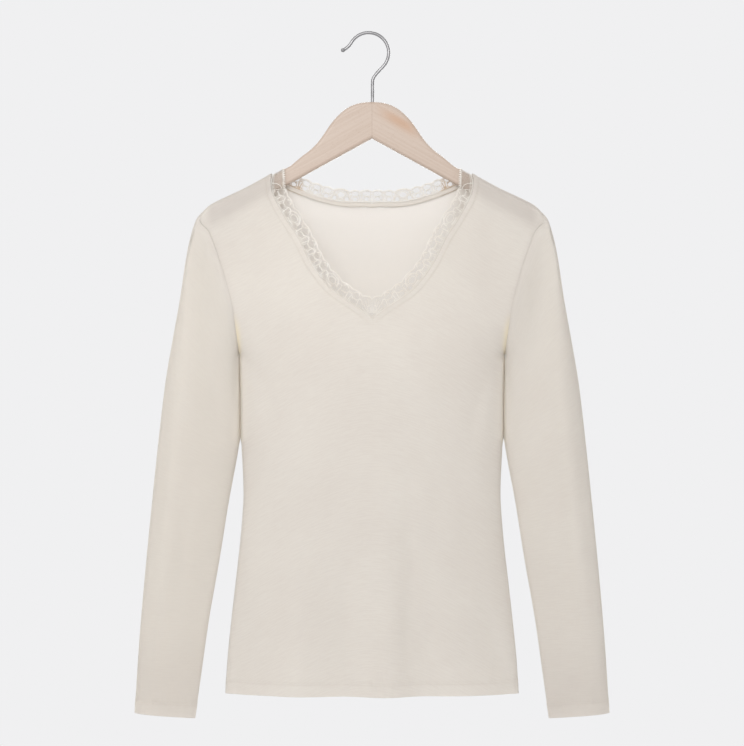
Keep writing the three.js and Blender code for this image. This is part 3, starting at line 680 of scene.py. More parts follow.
class Shader(Nodes):
    """A material's nodes."""

    def __init__(self, name: str) -> None:
        """Start an empty material.

        Args:
            name: the material's name.
        """
        self.material = bpy.data.materials.new(name)
        self.material.use_nodes = True
        self.tree = self.material.node_tree
        self.tree.nodes.clear()

    def attribute(self, name: str) -> Number:
        """Read a number stored on the piece's points."""
        return Number(self, self.node("ShaderNodeAttribute", {"attribute_name": name}).outputs["Fac"])

    def place(self) -> tuple[Number, Number, Number]:
        """The point's x, y and z in metres."""
        spot = self.node("ShaderNodeTexCoord").outputs["Object"]
        parts = self.node("ShaderNodeSeparateXYZ", None, {"Vector": spot})
        return tuple(Number(self, out) for out in parts.outputs)

    def flat(self, layer: str) -> tuple[Number, Number]:
        """The point's place on the flat cloth, in centimetres."""
        spot = self.node("ShaderNodeUVMap", {"uv_map": layer}).outputs["UV"]
        parts = self.node("ShaderNodeSeparateXYZ", None, {"Vector": spot})
        return Number(self, parts.outputs[0]), Number(self, parts.outputs[1])

    def noise(
        self, x: Number | float, y: Number | float, z: Number | float = 0.0, detail: float = 2.0
    ) -> Number:
        """Soft noise, about 0.5, with one lump in each unit of x, y and z."""
        where = self.node("ShaderNodeCombineXYZ", None, {"X": x, "Y": y, "Z": z}).outputs[0]
        made = self.node("ShaderNodeTexNoise", None, {"Vector": where, "Scale": 1.0, "Detail": detail})
        return Number(self, made.outputs["Fac"])

    def mix(self, a: object, b: object, part: Number | float) -> bpy.types.NodeSocket:
        """Mix two colours.

        Args:
            a: the first colour, or a link to one.
            b: the second.
            part: how much of the second, from 0 to 1.

        Returns:
            The mixed colour's socket.
        """
        inputs = {"Factor_Float": part, "A_Color": a, "B_Color": b}
        made = self.node("ShaderNodeMix", {"data_type": "RGBA"}, inputs)
        return next(out for out in made.outputs if out.identifier == "Result_Color")

    def bump(self, height: Number, distance: float, strength: float = 1.0) -> bpy.types.NodeSocket:
        """Turn a height into a bumped normal."""
        inputs = {"Height": height, "Distance": distance, "Strength": strength}
        return self.node("ShaderNodeBump", None, inputs).outputs["Normal"]

    def surface(
        self, inputs: dict, see_through: Number | float | None = None, glow: tuple | None = None
    ) -> bpy.types.Material:
        """Finish the material.

        Args:
            inputs: the main shader's values and links.
            see_through: the share of light that is let through the cloth.
            glow: the colour of that light.

        Returns:
            The material.
        """
        main = self.node("ShaderNodeBsdfPrincipled", None, inputs).outputs[0]
        if see_through is not None:
            through = {"Color": glow}
            if "Normal" in inputs:
                through["Normal"] = inputs["Normal"]
            thin = self.node("ShaderNodeBsdfTranslucent", None, through).outputs[0]
            main = self.node("ShaderNodeMixShader", None, {0: see_through, 1: main, 2: thin}).outputs[0]
        self.node("ShaderNodeOutputMaterial", None, {"Surface": main})
        return self.material


@dataclass(frozen=True)
class KnitFinish:
    """Fine cream jersey: columns of tiny stitches, faint sideways slubs, soft and matt."""

    name: str
    colour: tuple = linear(236, 231, 223)
    shade: tuple = linear(227, 220, 212)
    light: tuple = linear(250, 246, 238)
    # painted light: the inside of the back, lit through the neck's opening
    inside: tuple = linear(246, 249, 254)
    # painted light: warm light that comes through the cloth into the crease where the sleeve lies against the
    # body
    warm: tuple = linear(252, 240, 208)
    # painted shade: the colour of the hanger's shadow through the cloth, of the shade at the cuffs and of the
    # shade along the seams
    wood_shadow: tuple = linear(199, 189, 182)
    glow: tuple = linear(241, 237, 231)
    wale_cm: float = 0.066
    course_cm: float = 0.05
    see_through: float = 0.34
    relief: float = 0.00012

    def material(self) -> bpy.types.Material:
        """Build the material."""
        shader = Shader(self.name)
        u, v = shader.flat("flat_cm")
        long_slub = shader.noise(u * 0.5, v * 6.5)
        short_slub = shader.noise(u * 1.6 + 7, v * 11 + 3)
        cloud = shader.noise(u * 0.12 + 3, v * 0.1, 5.0)
        streaks = long_slub * 0.62 + short_slub * 0.38
        shaded = streaks.ramp(0.36, 0.66) * 0.62 + cloud.ramp(0.3, 0.7) * 0.3
        colour = shader.mix(self.colour, self.shade, shaded)
        # painted shade: the hanger's shadow through the panels, and on the sleeves the shade at the cuffs
        colour = shader.mix(colour, self.wood_shadow, shader.attribute("wood"))
        # painted light: the warm glow in the crease between the sleeve and the body
        colour = shader.mix(colour, self.warm, shader.attribute("warm"))
        # painted light on the inside of the back, where light comes in at the neck's opening
        light, inside = shader.attribute("light"), shader.attribute("inside")
        colour = shader.mix(shader.mix(colour, self.light, light), self.inside, inside)
        # painted shade in the seams' troughs and along the stitch rows of the hems and the neck
        seam = shader.attribute("seam")
        colour = shader.mix(colour, self.wood_shadow, seam * 0.16)
        wale = u / self.wale_cm
        leg = abs(wale.fraction() - 0.5) * 2
        loops = ((v / self.course_cm + leg * 0.7) * (2 * math.pi)).sine()
        ribs = (wale * (2 * math.pi)).sine()
        height = loops * 0.35 + ribs * 0.5 + (streaks - 0.5) * 2.4
        return shader.surface(
            {
                "Base Color": colour,
                "Roughness": long_slub * 0.1 + 0.8,
                "Normal": shader.bump(height, self.relief, 0.6),
                "Sheen Weight": 0.9,
                "Sheen Roughness": 0.3,
                "Sheen Tint": self.light,
                "Specular IOR Level": 0.22,
            },
            (light + inside) * 0.35 + self.see_through,
            self.glow,
        )


@dataclass(frozen=True)
class ThreadFinish:
    """Twisted thread for stitches and lace, silkier than the knit."""

    name: str
    colour: tuple = linear(251, 248, 242)
    shade: tuple = linear(240, 233, 224)
    # painted shade: the dark gaps between the lace's threads, mixed in where a thread is thin
    net: tuple = linear(206, 198, 189)
    # painted shade, warmed by the wood, on the back lace under the hanger's arms
    lace_corner_shade: tuple = linear(196, 164, 124)
    roughness: float = 0.62
    see_through: float = 0.25
    twist_mm: float = 0.6

    def material(self) -> bpy.types.Material:
        """Build the material."""
        shader = Shader(self.name)
        x, y, z = shader.place()
        tone = shader.noise(x * 90, y * 90, z * 90)
        ply = ((x + y * 0.6 + z * 1.3) * (2 * math.pi / (self.twist_mm * MM))).sine()
        colour = shader.mix(self.colour, self.shade, tone.ramp(0.3, 0.7) * 0.6)
        # painted shade on the thin threads of the lace
        colour = shader.mix(colour, self.net, (1 - shader.attribute("half_width").ramp(0.16, 0.3)) * 0.8)
        # painted shade on the back lace under the hanger's arms, tinted by the wood near it
        out = abs(x)
        corner = out.ramp(0.08, 0.087) * (1 - out.ramp(0.1, 0.105)) * y.ramp(0.0, 0.004)
        colour = shader.mix(colour, self.lace_corner_shade, corner * 0.75)
        return shader.surface(
            {
                "Base Color": colour,
                "Roughness": tone * 0.15 + self.roughness,
                "Normal": shader.bump(ply, 0.00003, 0.5),
                "Sheen Weight": 0.25,
                "Sheen Roughness": 0.4,
                "Specular IOR Level": 0.35,
            },
            self.see_through,
            self.colour,
        )


@dataclass(frozen=True)
class WoodFinish:
    """Pale beech in satin varnish, its grain mirrored at the joint in the middle."""

    name: str
    colour: tuple = linear(188, 171, 157)
    late: tuple = linear(177, 157, 141)
    fleck: tuple = linear(162, 136, 117)
    streak: tuple = linear(180, 142, 112)
    joint: tuple = linear(140, 116, 98)

    def material(self) -> bpy.types.Material:
        """Build the material."""
        shader = Shader(self.name)
        x, y, z = shader.place()
        lean = math.atan(HANGER_SLOPE)
        out = abs(x)
        along = out * math.cos(lean) - z * math.sin(lean)
        across = out * math.sin(lean) + z * math.cos(lean)
        side = x.sign() * 4
        wave = shader.noise(along * 14, across * 30 + side, y * 30)
        rings = shader.noise(along * 5 + side, (across + wave * 0.004) * 420, y * 160, 3.0)
        grain = shader.noise(along * 26, across * 1500 + side, y * 900, 1.0)
        rays = shader.noise(along * 330 + side, across * 1500, y * 700, 1.0)
        dark = rings.ramp(0.38, 0.68) * 0.42 + grain.ramp(0.45, 0.75) * 0.25
        colour = shader.mix(self.colour, self.late, dark)
        vein = across + wave * 0.008
        band = vein.ramp(-0.086, -0.073) * (1 - vein.ramp(-0.073, -0.062))
        band = band * x.ramp(0.0, 0.03) * (1 - out.ramp(0.038, 0.062))
        colour = shader.mix(colour, self.streak, band * 0.7)
        colour = shader.mix(colour, self.fleck, rays.ramp(0.64, 0.72) * 0.45)
        colour = shader.mix(colour, self.joint, (1 - out.ramp(0.0001, 0.0005)) * 0.4)
        height = rings * 0.5 + grain * 0.3 - rays.ramp(0.62, 0.72) * 0.4
        return shader.surface(
            {
                "Base Color": colour,
                "Roughness": grain * 0.14 + rings * 0.08 + 0.36,
                "Normal": shader.bump(height, 0.00006, 0.4),
                "Coat Weight": 0.18,
                "Coat Roughness": 0.28,
                "Specular IOR Level": 0.4,
            }
        )


@dataclass(frozen=True)
class SteelFinish:
    """Bright drawn wire, with faint lines along it and a slightly duller skin where it rubs."""

    name: str
    colour: tuple = linear(150, 149, 150)
    worn: tuple = linear(124, 123, 124)

    def material(self) -> bpy.types.Material:
        """Build the material."""
        shader = Shader(self.name)
        x, y, z = shader.place()
        drawn = shader.noise(x * 260, y * 2600, z * 260, 1.0)
        dull = shader.noise(x * 120, y * 120, z * 120)
        rubbed = z.ramp(-0.006, -0.001)
        colour = shader.mix(self.colour, self.worn, dull.ramp(0.4, 0.7) * 0.5)
        return shader.surface(
            {
                "Base Color": colour,
                "Metallic": 1.0,
                "Roughness": dull * 0.12 + drawn * 0.08 + rubbed * 0.06 + 0.26,
                "Normal": shader.bump(drawn, 0.00001, 0.3),
            }
        )


@dataclass(frozen=True)
class FloorFinish:
    """A plain pale studio floor."""

    name: str
    colour: tuple = linear(240, 241, 243)

    def material(self) -> bpy.types.Material:
        """Build the material."""
        shader = Shader(self.name)
        x, y, _ = shader.place()
        tone = shader.noise(x * 3, y * 3)
        colour = shader.mix(self.colour, linear(234, 235, 237), tone * 0.5)
        return shader.surface({"Base Color": colour, "Roughness": 0.7})


class Cloth:
    """A sheet of cloth as grids of points, made into a closed thin shell that meets its neighbours."""

    corner_slices = ((0, 0), (1, 0), (1, 1), (0, 1))

    def __init__(self, name: str) -> None:
        """Start an empty sheet.

        Args:
            name: the piece's name.
        """
        self.name = name
        self.points = np.zeros((0, 3))
        self.walls = np.zeros(0)
        self.relief = np.zeros(0)
        self.marks: dict[str, Array] = {}
        self.quads = np.zeros((0, 4), int)
        self.quad_uv = np.zeros((0, 4, 2))
        self.corners: list[tuple[list[int], list[Array]]] = []
        self.flat_width = 0.0
        self.flat_length = 0.0

    def grid(
        self, points: Array, walls: Array, uv: Array, relief: Array, marks: dict[str, Array], turned: bool,
        ring: bool = False,
    ) -> None:
        """Add a grid of points and the faces between them.

        Args:
            points: rows by columns by 3, in millimetres.
            walls: the cloth's thickness at each point.
            uv: the place of each point on the flat cloth, in centimetres.
            relief: how far each point is raised from the plain form.
            marks: numbers for the finish, by name.
            turned: whether the faces run the other way round.
            ring: whether the last column joins the first.
        """
        rows, columns = points.shape[:2]
        loop = np.concatenate([points, points[:, :1]], axis=1) if ring else points
        widths = np.linalg.norm(np.diff(loop, axis=1), axis=-1).sum(1)
        self.flat_width += float(widths[rows // 10 :].max()) * MM
        lengths = np.linalg.norm(np.diff(points, axis=0), axis=-1).sum(0)
        self.flat_length = max(self.flat_length, float(lengths.max()) * MM)
        number = np.arange(rows * columns).reshape(rows, columns) + len(self.points)
        if ring:
            number = np.concatenate([number, number[:, :1]], axis=1)
            step = np.linalg.norm(points[:, :1] - points[:, -1:], axis=-1) / 10
            closing = np.stack([uv[:, -1:, 0] + step, uv[:, :1, 1]], axis=-1)
            uv = np.concatenate([uv, closing], axis=1)
        last_row, last_column = number.shape[0] - 1, number.shape[1] - 1
        windows = [(slice(r, last_row + r), slice(c, last_column + c)) for r, c in self.corner_slices]
        quads = np.stack([number[window].ravel() for window in windows], axis=1)
        quad_uv = np.stack([uv[window].reshape(-1, 2) for window in windows], axis=1)
        if turned:
            quads, quad_uv = quads[:, ::-1], quad_uv[:, ::-1]
        more = {"quads": quads, "quad_uv": quad_uv, "points": points.reshape(-1, 3)}
        more |= {"walls": walls.ravel(), "relief": relief.ravel()}
        for key, values in more.items():
            setattr(self, key, np.concatenate([getattr(self, key), values]))
        for key, values in marks.items():
            self.marks[key] = np.concatenate([self.marks.get(key, np.zeros(0)), values.ravel()])

    def merge(self, keep: float = 1e-4) -> None:
        """Join points that lie together, such as those of a middle line that two halves share."""
        keys = np.round(self.points / keep).astype(np.int64)
        _, first, inverse = np.unique(keys, axis=0, return_index=True, return_inverse=True)
        quads = inverse.ravel()[self.quads]
        self.points, self.walls, self.relief = self.points[first], self.walls[first], self.relief[first]
        self.marks = {key: values[first] for key, values in self.marks.items()}
        whole = (np.diff(np.sort(quads, axis=1), axis=1) > 0).all(axis=1)
        for quad, uv in zip(quads[~whole].tolist(), self.quad_uv[~whole]):
            kept = [i for i in range(4) if quad[i] != quad[i - 1]]
            if len(kept) == 3:
                self.corners.append(([quad[i] for i in kept], [uv[i] for i in kept]))
        self.quads, self.quad_uv = quads[whole], self.quad_uv[whole]

    def _sums(self) -> Array:
        """The area-weighted normal sum at each point."""
        total = np.zeros_like(self.points)
        for face in ([0, 1, 2], [0, 2, 3]):
            a, b, c = (self.points[self.quads[:, i]] for i in face)
            normal = np.cross(b - a, c - a)
            for i in face:
                np.add.at(total, self.quads[:, i], normal)
        return total

    @staticmethod
    def share_normals(sheets: Sequence["Cloth"], underarm: float) -> None:
        """Give each point the mean normal of all sheets that meet there, then raise it by its relief.

        Args:
            sheets: the sheets whose seams meet.
            underarm: the height below which the normal at the underarm's own point is straight down.
        """
        points = np.concatenate([sheet.points for sheet in sheets])
        sums = np.concatenate([sheet._sums() for sheet in sheets])
        keys = np.round(points * 100).astype(np.int64)
        _, inverse = np.unique(keys, axis=0, return_inverse=True)
        inverse = inverse.ravel()
        total = np.zeros((inverse.max() + 1, 3))
        np.add.at(total, inverse, sums)
        normals = unit(total[inverse])
        pits = (np.abs(points[:, 2] + underarm) < 0.01) & (np.abs(points[:, 1]) < 0.01)
        normals[pits] = [0, 0, -1]
        start = 0
        for sheet in sheets:
            sheet.normals = normals[start : start + len(sheet.points)]
            start += len(sheet.points)
            sheet.points = sheet.points + sheet.normals * sheet.relief[:, None]

    def shell(self, shift: Sequence[float], finish: bpy.types.Material) -> bpy.types.Object:
        """Make the closed shell: outer face, inner face and the rims between them.

        Args:
            shift: a step that moves the whole piece, in millimetres.
            finish: the cloth's material.

        Returns:
            The new object, with a UV map "flat_cm" and each mark as an attribute.
        """
        count = len(self.points)
        outer = self.quads.tolist() + [face for face, _ in self.corners]
        uv = list(self.quad_uv) + [np.array(spots) for _, spots in self.corners]
        inner = [[i + count for i in reversed(face)] for face in outer]
        edges = {}
        for number, face in enumerate(outer):
            for i, start in enumerate(face):
                edges[(start, face[(i + 1) % len(face)])] = (number, i)
        rims, rim_uv = [], []
        for (a, b), (number, i) in edges.items():
            if (b, a) not in edges:
                rims.append([b, a, a + count, b + count])
                at_a, at_b = uv[number][i], uv[number][(i + 1) % len(outer[number])]
                rim_uv.append(np.array([at_b, at_a, at_a, at_b]))
        inside = self.points - self.normals * self.walls[:, None]
        points = (np.concatenate([self.points, inside]) + np.array(shift)) * MM
        mesh = new_mesh(self.name, points, outer + inner + rims, finish)
        layer = mesh.uv_layers.new(name="flat_cm")
        spots = np.concatenate(uv + [face[::-1] for face in uv] + rim_uv)
        layer.data.foreach_set("uv", spots.ravel().astype(np.float32))
        for key, values in self.marks.items():
            store(mesh, key, np.concatenate([values * (key != "inside"), values]))
        mesh.update()
        return add_object(self.name, mesh)

    def area(self) -> float:
        """Area of one face of the cloth, in square metres."""
        a, b, c, d = (self.points[self.quads[:, i]] for i in range(4))
        first, second = np.cross(b - a, c - a), np.cross(c - a, d - a)
        doubled = np.linalg.norm(first, axis=1) + np.linalg.norm(second, axis=1)
        return float(doubled.sum()) / 2 * MM * MM


def new_mesh(name: str, points: Array, faces: list, finish: bpy.types.Material) -> bpy.types.Mesh:
    """Make a smooth mesh of one finish.

    Args:
        name: the mesh's name.
        points: its points, in metres.
        faces: the numbers of each face's points.
        finish: its material.

    Returns:
        The mesh.
    """
    mesh = bpy.data.meshes.new(name)
    mesh.from_pydata(points.tolist(), [], faces)
    mesh.materials.append(finish)
    mesh.polygons.foreach_set("use_smooth", [True] * len(mesh.polygons))
    mesh.update()
    return mesh


def add_object(name: str, data: bpy.types.ID) -> bpy.types.Object:
    """Link a new object with this mesh, lamp or camera to the scene."""
    made = bpy.data.objects.new(name, data)
    bpy.context.scene.collection.objects.link(made)
    return made


def store(mesh: bpy.types.Mesh, key: str, values: Array) -> None:
    """Store a number on each point of a mesh."""
    attribute = mesh.attributes.new(key, "FLOAT", "POINT")
    attribute.data.foreach_set("value", values.astype(np.float32))


class Line(NamedTuple):
    """A thread's path in millimetres, its half width, how flat it is and how high it lies."""

    points: Array
    half_width: float
    flatness: float = 1.0
    lift: float = 0.0
    closed: bool = False


def lines_mesh(name: str, lines: Sequence[Line]) -> bpy.types.Mesh:
    """Make a mesh of loose lines for a node tree.

    Args:
        name: the mesh's name.
        lines: the threads' paths.

    Returns:
        The mesh, with the threads' numbers stored on its points.
    """
    counts = [len(line.points) for line in lines]
    edges: list[tuple[int, int]] = []
    start = 0
    for line, count in zip(lines, counts):
        edges += [(start + i, start + i + 1) for i in range(count - 1)]
        if line.closed:
            edges.append((start + count - 1, start))
        start += count
    mesh = bpy.data.meshes.new(name)
    mesh.from_pydata((np.concatenate([line.points for line in lines]) * MM).tolist(), edges, [])
    for key in ("half_width", "flatness", "lift"):
        store(mesh, key, np.repeat([getattr(line, key) for line in lines], counts))
    return mesh


class Growth(Nodes):
    """A geometry node tree with named inputs, and a way to run it on a mesh."""

    def __init__(self, name: str) -> None:
        """Start a tree that takes and gives a geometry.

        Args:
            name: the tree's name.
        """
        self.tree = bpy.data.node_groups.new(name, "GeometryNodeTree")
        for way in ("INPUT", "OUTPUT"):
            self.tree.interface.new_socket("Geometry", in_out=way, socket_type="NodeSocketGeometry")
        self.entry = self.node("NodeGroupInput")
        self.exit = self.node("NodeGroupOutput")

    def named(self, name: str, default: float | int) -> Number:
        """Add a named number to the tree's inputs, whole where its default is."""
        kind = "NodeSocketInt" if isinstance(default, int) else "NodeSocketFloat"
        socket = self.tree.interface.new_socket(name, in_out="INPUT", socket_type=kind)
        socket.default_value = default
        return Number(self, self.entry.outputs[name])

    def stored(self, name: str) -> Number:
        """Read a number that is stored on the points."""
        made = self.node("GeometryNodeInputNamedAttribute", {"data_type": "FLOAT"}, {"Name": name})
        return Number(self, made.outputs["Attribute"])

    def step(self, kind: str, geometry: bpy.types.NodeSocket, **inputs: object) -> bpy.types.NodeSocket:
        """Pass the geometry through a node: its first input takes it and its first output gives it on."""
        return self.node(kind, None, {0: geometry, **inputs}).outputs[0]

    def finish(self, geometry: bpy.types.NodeSocket, material: bpy.types.Material) -> None:
        """End the tree: real geometry, smooth, with its material."""
        real = self.step("GeometryNodeRealizeInstances", geometry)
        rounded = self.step("GeometryNodeSetShadeSmooth", real)
        dressed = self.step("GeometryNodeSetMaterial", rounded, Material=material)
        self.tree.links.new(dressed, self.exit.inputs[0])

    def run(self, mesh: bpy.types.Mesh, values: dict[str, float | int]) -> bpy.types.Mesh:
        """Run the tree on a mesh.

        Args:
            mesh: the mesh that the tree reads; it is used up.
            values: numbers for the tree's inputs, by name.

        Returns:
            The plain mesh that comes out.
        """
        carrier = add_object("carrier", mesh)
        modifier = carrier.modifiers.new("growth", "NODES")
        modifier.node_group = self.tree
        for item in self.tree.interface.items_tree:
            if item.in_out == "INPUT" and item.name in values:
                modifier[item.identifier] = values[item.name]
        carrier.update_tag()
        bpy.context.view_layer.update()
        evaluated = carrier.evaluated_get(bpy.context.evaluated_depsgraph_get())
        made = bpy.data.meshes.new_from_object(evaluated)
        carrier.modifiers.remove(modifier)
        bpy.data.objects.remove(carrier)
        bpy.data.meshes.remove(mesh)
        return made


class ThreadGrowth(Growth):
    """Turns lines into threads of their own half width, pressed flat and raised by their own numbers."""

    def __init__(self, material: bpy.types.Material) -> None:
        """Build the tree.

        Args:
            material: the threads' finish.
        """
        super().__init__("threads along lines")
        sides = self.named("Sides", 6)
        scale = self.named("Width Scale", 1.0)
        size = self.named("Unit Size", MM)
        curve = self.step("GeometryNodeMeshToCurve", self.entry.outputs[0])
        upright = self.node("GeometryNodeSetCurveNormal", {"mode": "Z_UP"}, {"Curve": curve}).outputs[0]
        ring = self.node("GeometryNodeCurvePrimitiveCircle", None, {"Resolution": sides, "Radius": 1.0})
        inputs = {"Profile Curve": ring.outputs[0], "Scale": self.stored("half_width") * scale * size}
        tube = self.step("GeometryNodeCurveToMesh", upright, **inputs, **{"Fill Caps": True})
        spot = self.node("GeometryNodeInputPosition").outputs[0]
        parts = self.node("ShaderNodeSeparateXYZ", None, {"Vector": spot}).outputs
        height = Number(self, parts[2]) * self.stored("flatness") + self.stored("lift") * size
        place = self.node("ShaderNodeCombineXYZ", None, {"X": parts[0], "Y": parts[1], "Z": height})
        self.finish(self.step("GeometryNodeSetPosition", tube, Position=place.outputs[0]), material)


class StitchGrowth(Growth):
    """Sets small stitches along lines that lie on the cloth."""

    seed = 11

    def __init__(self, material: bpy.types.Material) -> None:
        """Build the tree.

        Args:
            material: the thread's finish.
        """
        super().__init__("stitches along lines")
        pitch = self.named("Pitch", 0.0026)
        length = self.named("Stitch Length", 0.002)
        radius = self.named("Thread Radius", 0.0002)
        wobble = self.named("Wobble", 0.12)
        curve = self.step("GeometryNodeMeshToCurve", self.entry.outputs[0])
        spots = self.node("GeometryNodeCurveToPoints", {"mode": "LENGTH"}, {"Curve": curve, "Length": pitch})
        bead = self.node("GeometryNodeMeshUVSphere", None, {"Segments": 6, "Rings": 4, "Radius": 1.0})
        bounds = {"Min_001": -1.0, "Max_001": 1.0, "Seed": self.seed}
        chance = self.node("FunctionNodeRandomValue", {"data_type": "FLOAT"}, bounds)
        uneven = Number(self, chance.outputs[1]) * wobble + 1
        size = self.node("ShaderNodeCombineXYZ", None, {"X": radius, "Y": radius, "Z": length * 0.5 * uneven})
        inputs = {
            "Points": spots.outputs["Points"],
            "Instance": bead.outputs[0],
            "Rotation": spots.outputs["Rotation"],
            "Scale": size.outputs[0],
        }
        self.finish(self.node("GeometryNodeInstanceOnPoints", None, inputs).outputs[0], material)


class Sweep(NamedTuple):
    """Rings of points in millimetres, one after the other: for plain rods, tapes and plates."""

    name: str
    rings: Array

    def mesh(self, material: bpy.types.Material, plate: bool = False) -> bpy.types.Mesh:
        """Make the closed mesh of the rings, with a face at both ends.

        Args:
            material: its finish.
            plate: whether the ends are wide, and are filled with ribs from each ring's one side to its other.

        Returns:
            The mesh.
        """
        count, sides = self.rings.shape[:2]
        number = np.arange(count * sides).reshape(count, sides)
        across = np.roll(number, -1, axis=1)
        quads = np.stack([number[:-1], across[:-1], across[1:], number[1:]], axis=-1).reshape(-1, 4)
        ribs = self._ribs(sides) if plate else [list(range(sides))]
        ends = [number[0, face[::-1]].tolist() for face in ribs]
        ends += [number[-1, face].tolist() for face in ribs]
        return new_mesh(self.name, self.rings.reshape(-1, 3) * MM, quads.tolist() + ends, material)

    @staticmethod
    def _ribs(sides: int) -> list[list[int]]:
        """Faces that fill a ring which is the same left and right of its first point."""
        half = sides // 2
        made = []
        for i in range(half // 2):
            made.append([i, i + 1, half - i - 1, half - i])
            made.append([half + i, half + i + 1, sides - i - 1, (sides - i) % sides])
        return [list(dict.fromkeys(face)) for face in made]


@dataclass
class Sewing:
    """Widths and heights of the seams and hems, in millimetres."""

    wall: float = 0.8
    hem_wall: float = 1.7
    hem_depth: float = 18.0
    hem_rise: float = 0.35
    hem_trough: float = 0.3
    hem_fade: float = 2.0
    needle_gap: float = 3.2
    needle_edge: float = 1.0
    needle_width: float = 0.8
    seam_trough: float = 0.45
    seam_width: float = 4.2
    neck_band: float = 6.0
    neck_rise: float = 0.22
    neck_trough: float = 0.22
    fine_row: float = 0.9
    pucker: float = 0.16
    pucker_pitch: float = 9.0
    touch_start: float = 10.0
    touch_end: float = 480.0
    touch_fade: float = 14.0
    warm_from: float = 330.0
    warm_turn: float = 385.0
    warm_width: float = 5.0

    @property
    def needle_rows(self) -> tuple[float, float]:
        """How far each of a hem's two stitch rows lies below its folded edge."""
        return self.needle_edge, self.needle_edge + self.needle_gap

    def hem_relief(self, above: Array, along: Array) -> Array:
        """Height of the cloth near a folded hem.

        Args:
            above: distances above the hem's edge.
            along: places along the hem, for its slight puckers.

        Returns:
            Heights outwards.
        """
        fold = self.hem_rise * (1 - smooth((above - self.hem_depth + self.needle_edge) / 2.5))
        near = bell(above - self.hem_depth + 2, 7)
        wave = np.sin(along * 2 * math.pi / self.pucker_pitch + 0.7 * np.sin(along / 17))
        return fold - self.hem_mark(above) * self.hem_trough + self.pucker * near * wave

    def hem_mark(self, above: Array) -> Array:
        """Closeness to the hem's stitch lines, from 0 to 1."""
        return sum(bell(above - (self.hem_depth - row), self.needle_width) for row in self.needle_rows)

    def hem_layers(self, above: Array) -> Array:
        """How much of the hem's second layer lies at a height, from 0 to 1."""
        return np.clip(1 - (above - self.hem_depth) / self.hem_fade, 0, 1)

    def _before_parting(self, down: Array) -> Array:
        """1 at heights above the place where the sleeve leaves the body's side, and 0 below it."""
        return 1 - smooth((down - self.touch_end) / self.touch_fade)

    def side_by_side(self, down: Array) -> Array:
        """How closely the sleeve lies against the body at a height, from 0 to 1."""
        return smooth((down - BODY.underarm_down) / self.touch_start) * self._before_parting(down)

    def side_relief(self, gap: Array, down: Array) -> Array:
        """How far the cloth swells at its side, where the sleeve and the body touch."""
        return (0.6 * bell(gap, 12) + 1.2 * bell(gap - 7, 5)) * self.side_by_side(down)

    def crease_light(self, gap: Array, down: Array) -> Array:
        """How much light from behind fills the crease between the sleeve and the body."""
        return bell(gap, 9) * self.side_by_side(down)

    def warmth(self, gap: Array, down: Array) -> Array:
        """How much warm light gathers where the sleeve lies against the body.

        Args:
            gap: distances from the seam at the body's side.
            down: heights.

        Returns:
            Shares from 0 to 1.
        """
        above = 0.85 * smooth((down - self.warm_from) / 30) * (1 - smooth((down - self.warm_turn) / 25))
        below = 0.7 * smooth((down - self.warm_turn) / 20) * self._before_parting(down)
        return bell(gap, self.warm_width) * (above + below)

    def seam_dip(self, distance: Array) -> Array:
        """Closeness to a seam, from 0 to 1."""
        return bell(distance, self.seam_width)


SEWING = Sewing()


def row_numbers() -> Array:
    """Row numbers round the armhole, finer over the hanger's arm."""
    cap = np.linspace(0, 4, 12, endpoint=False)
    return np.concatenate([cap, np.linspace(4, ARMHOLE.last, 65)])


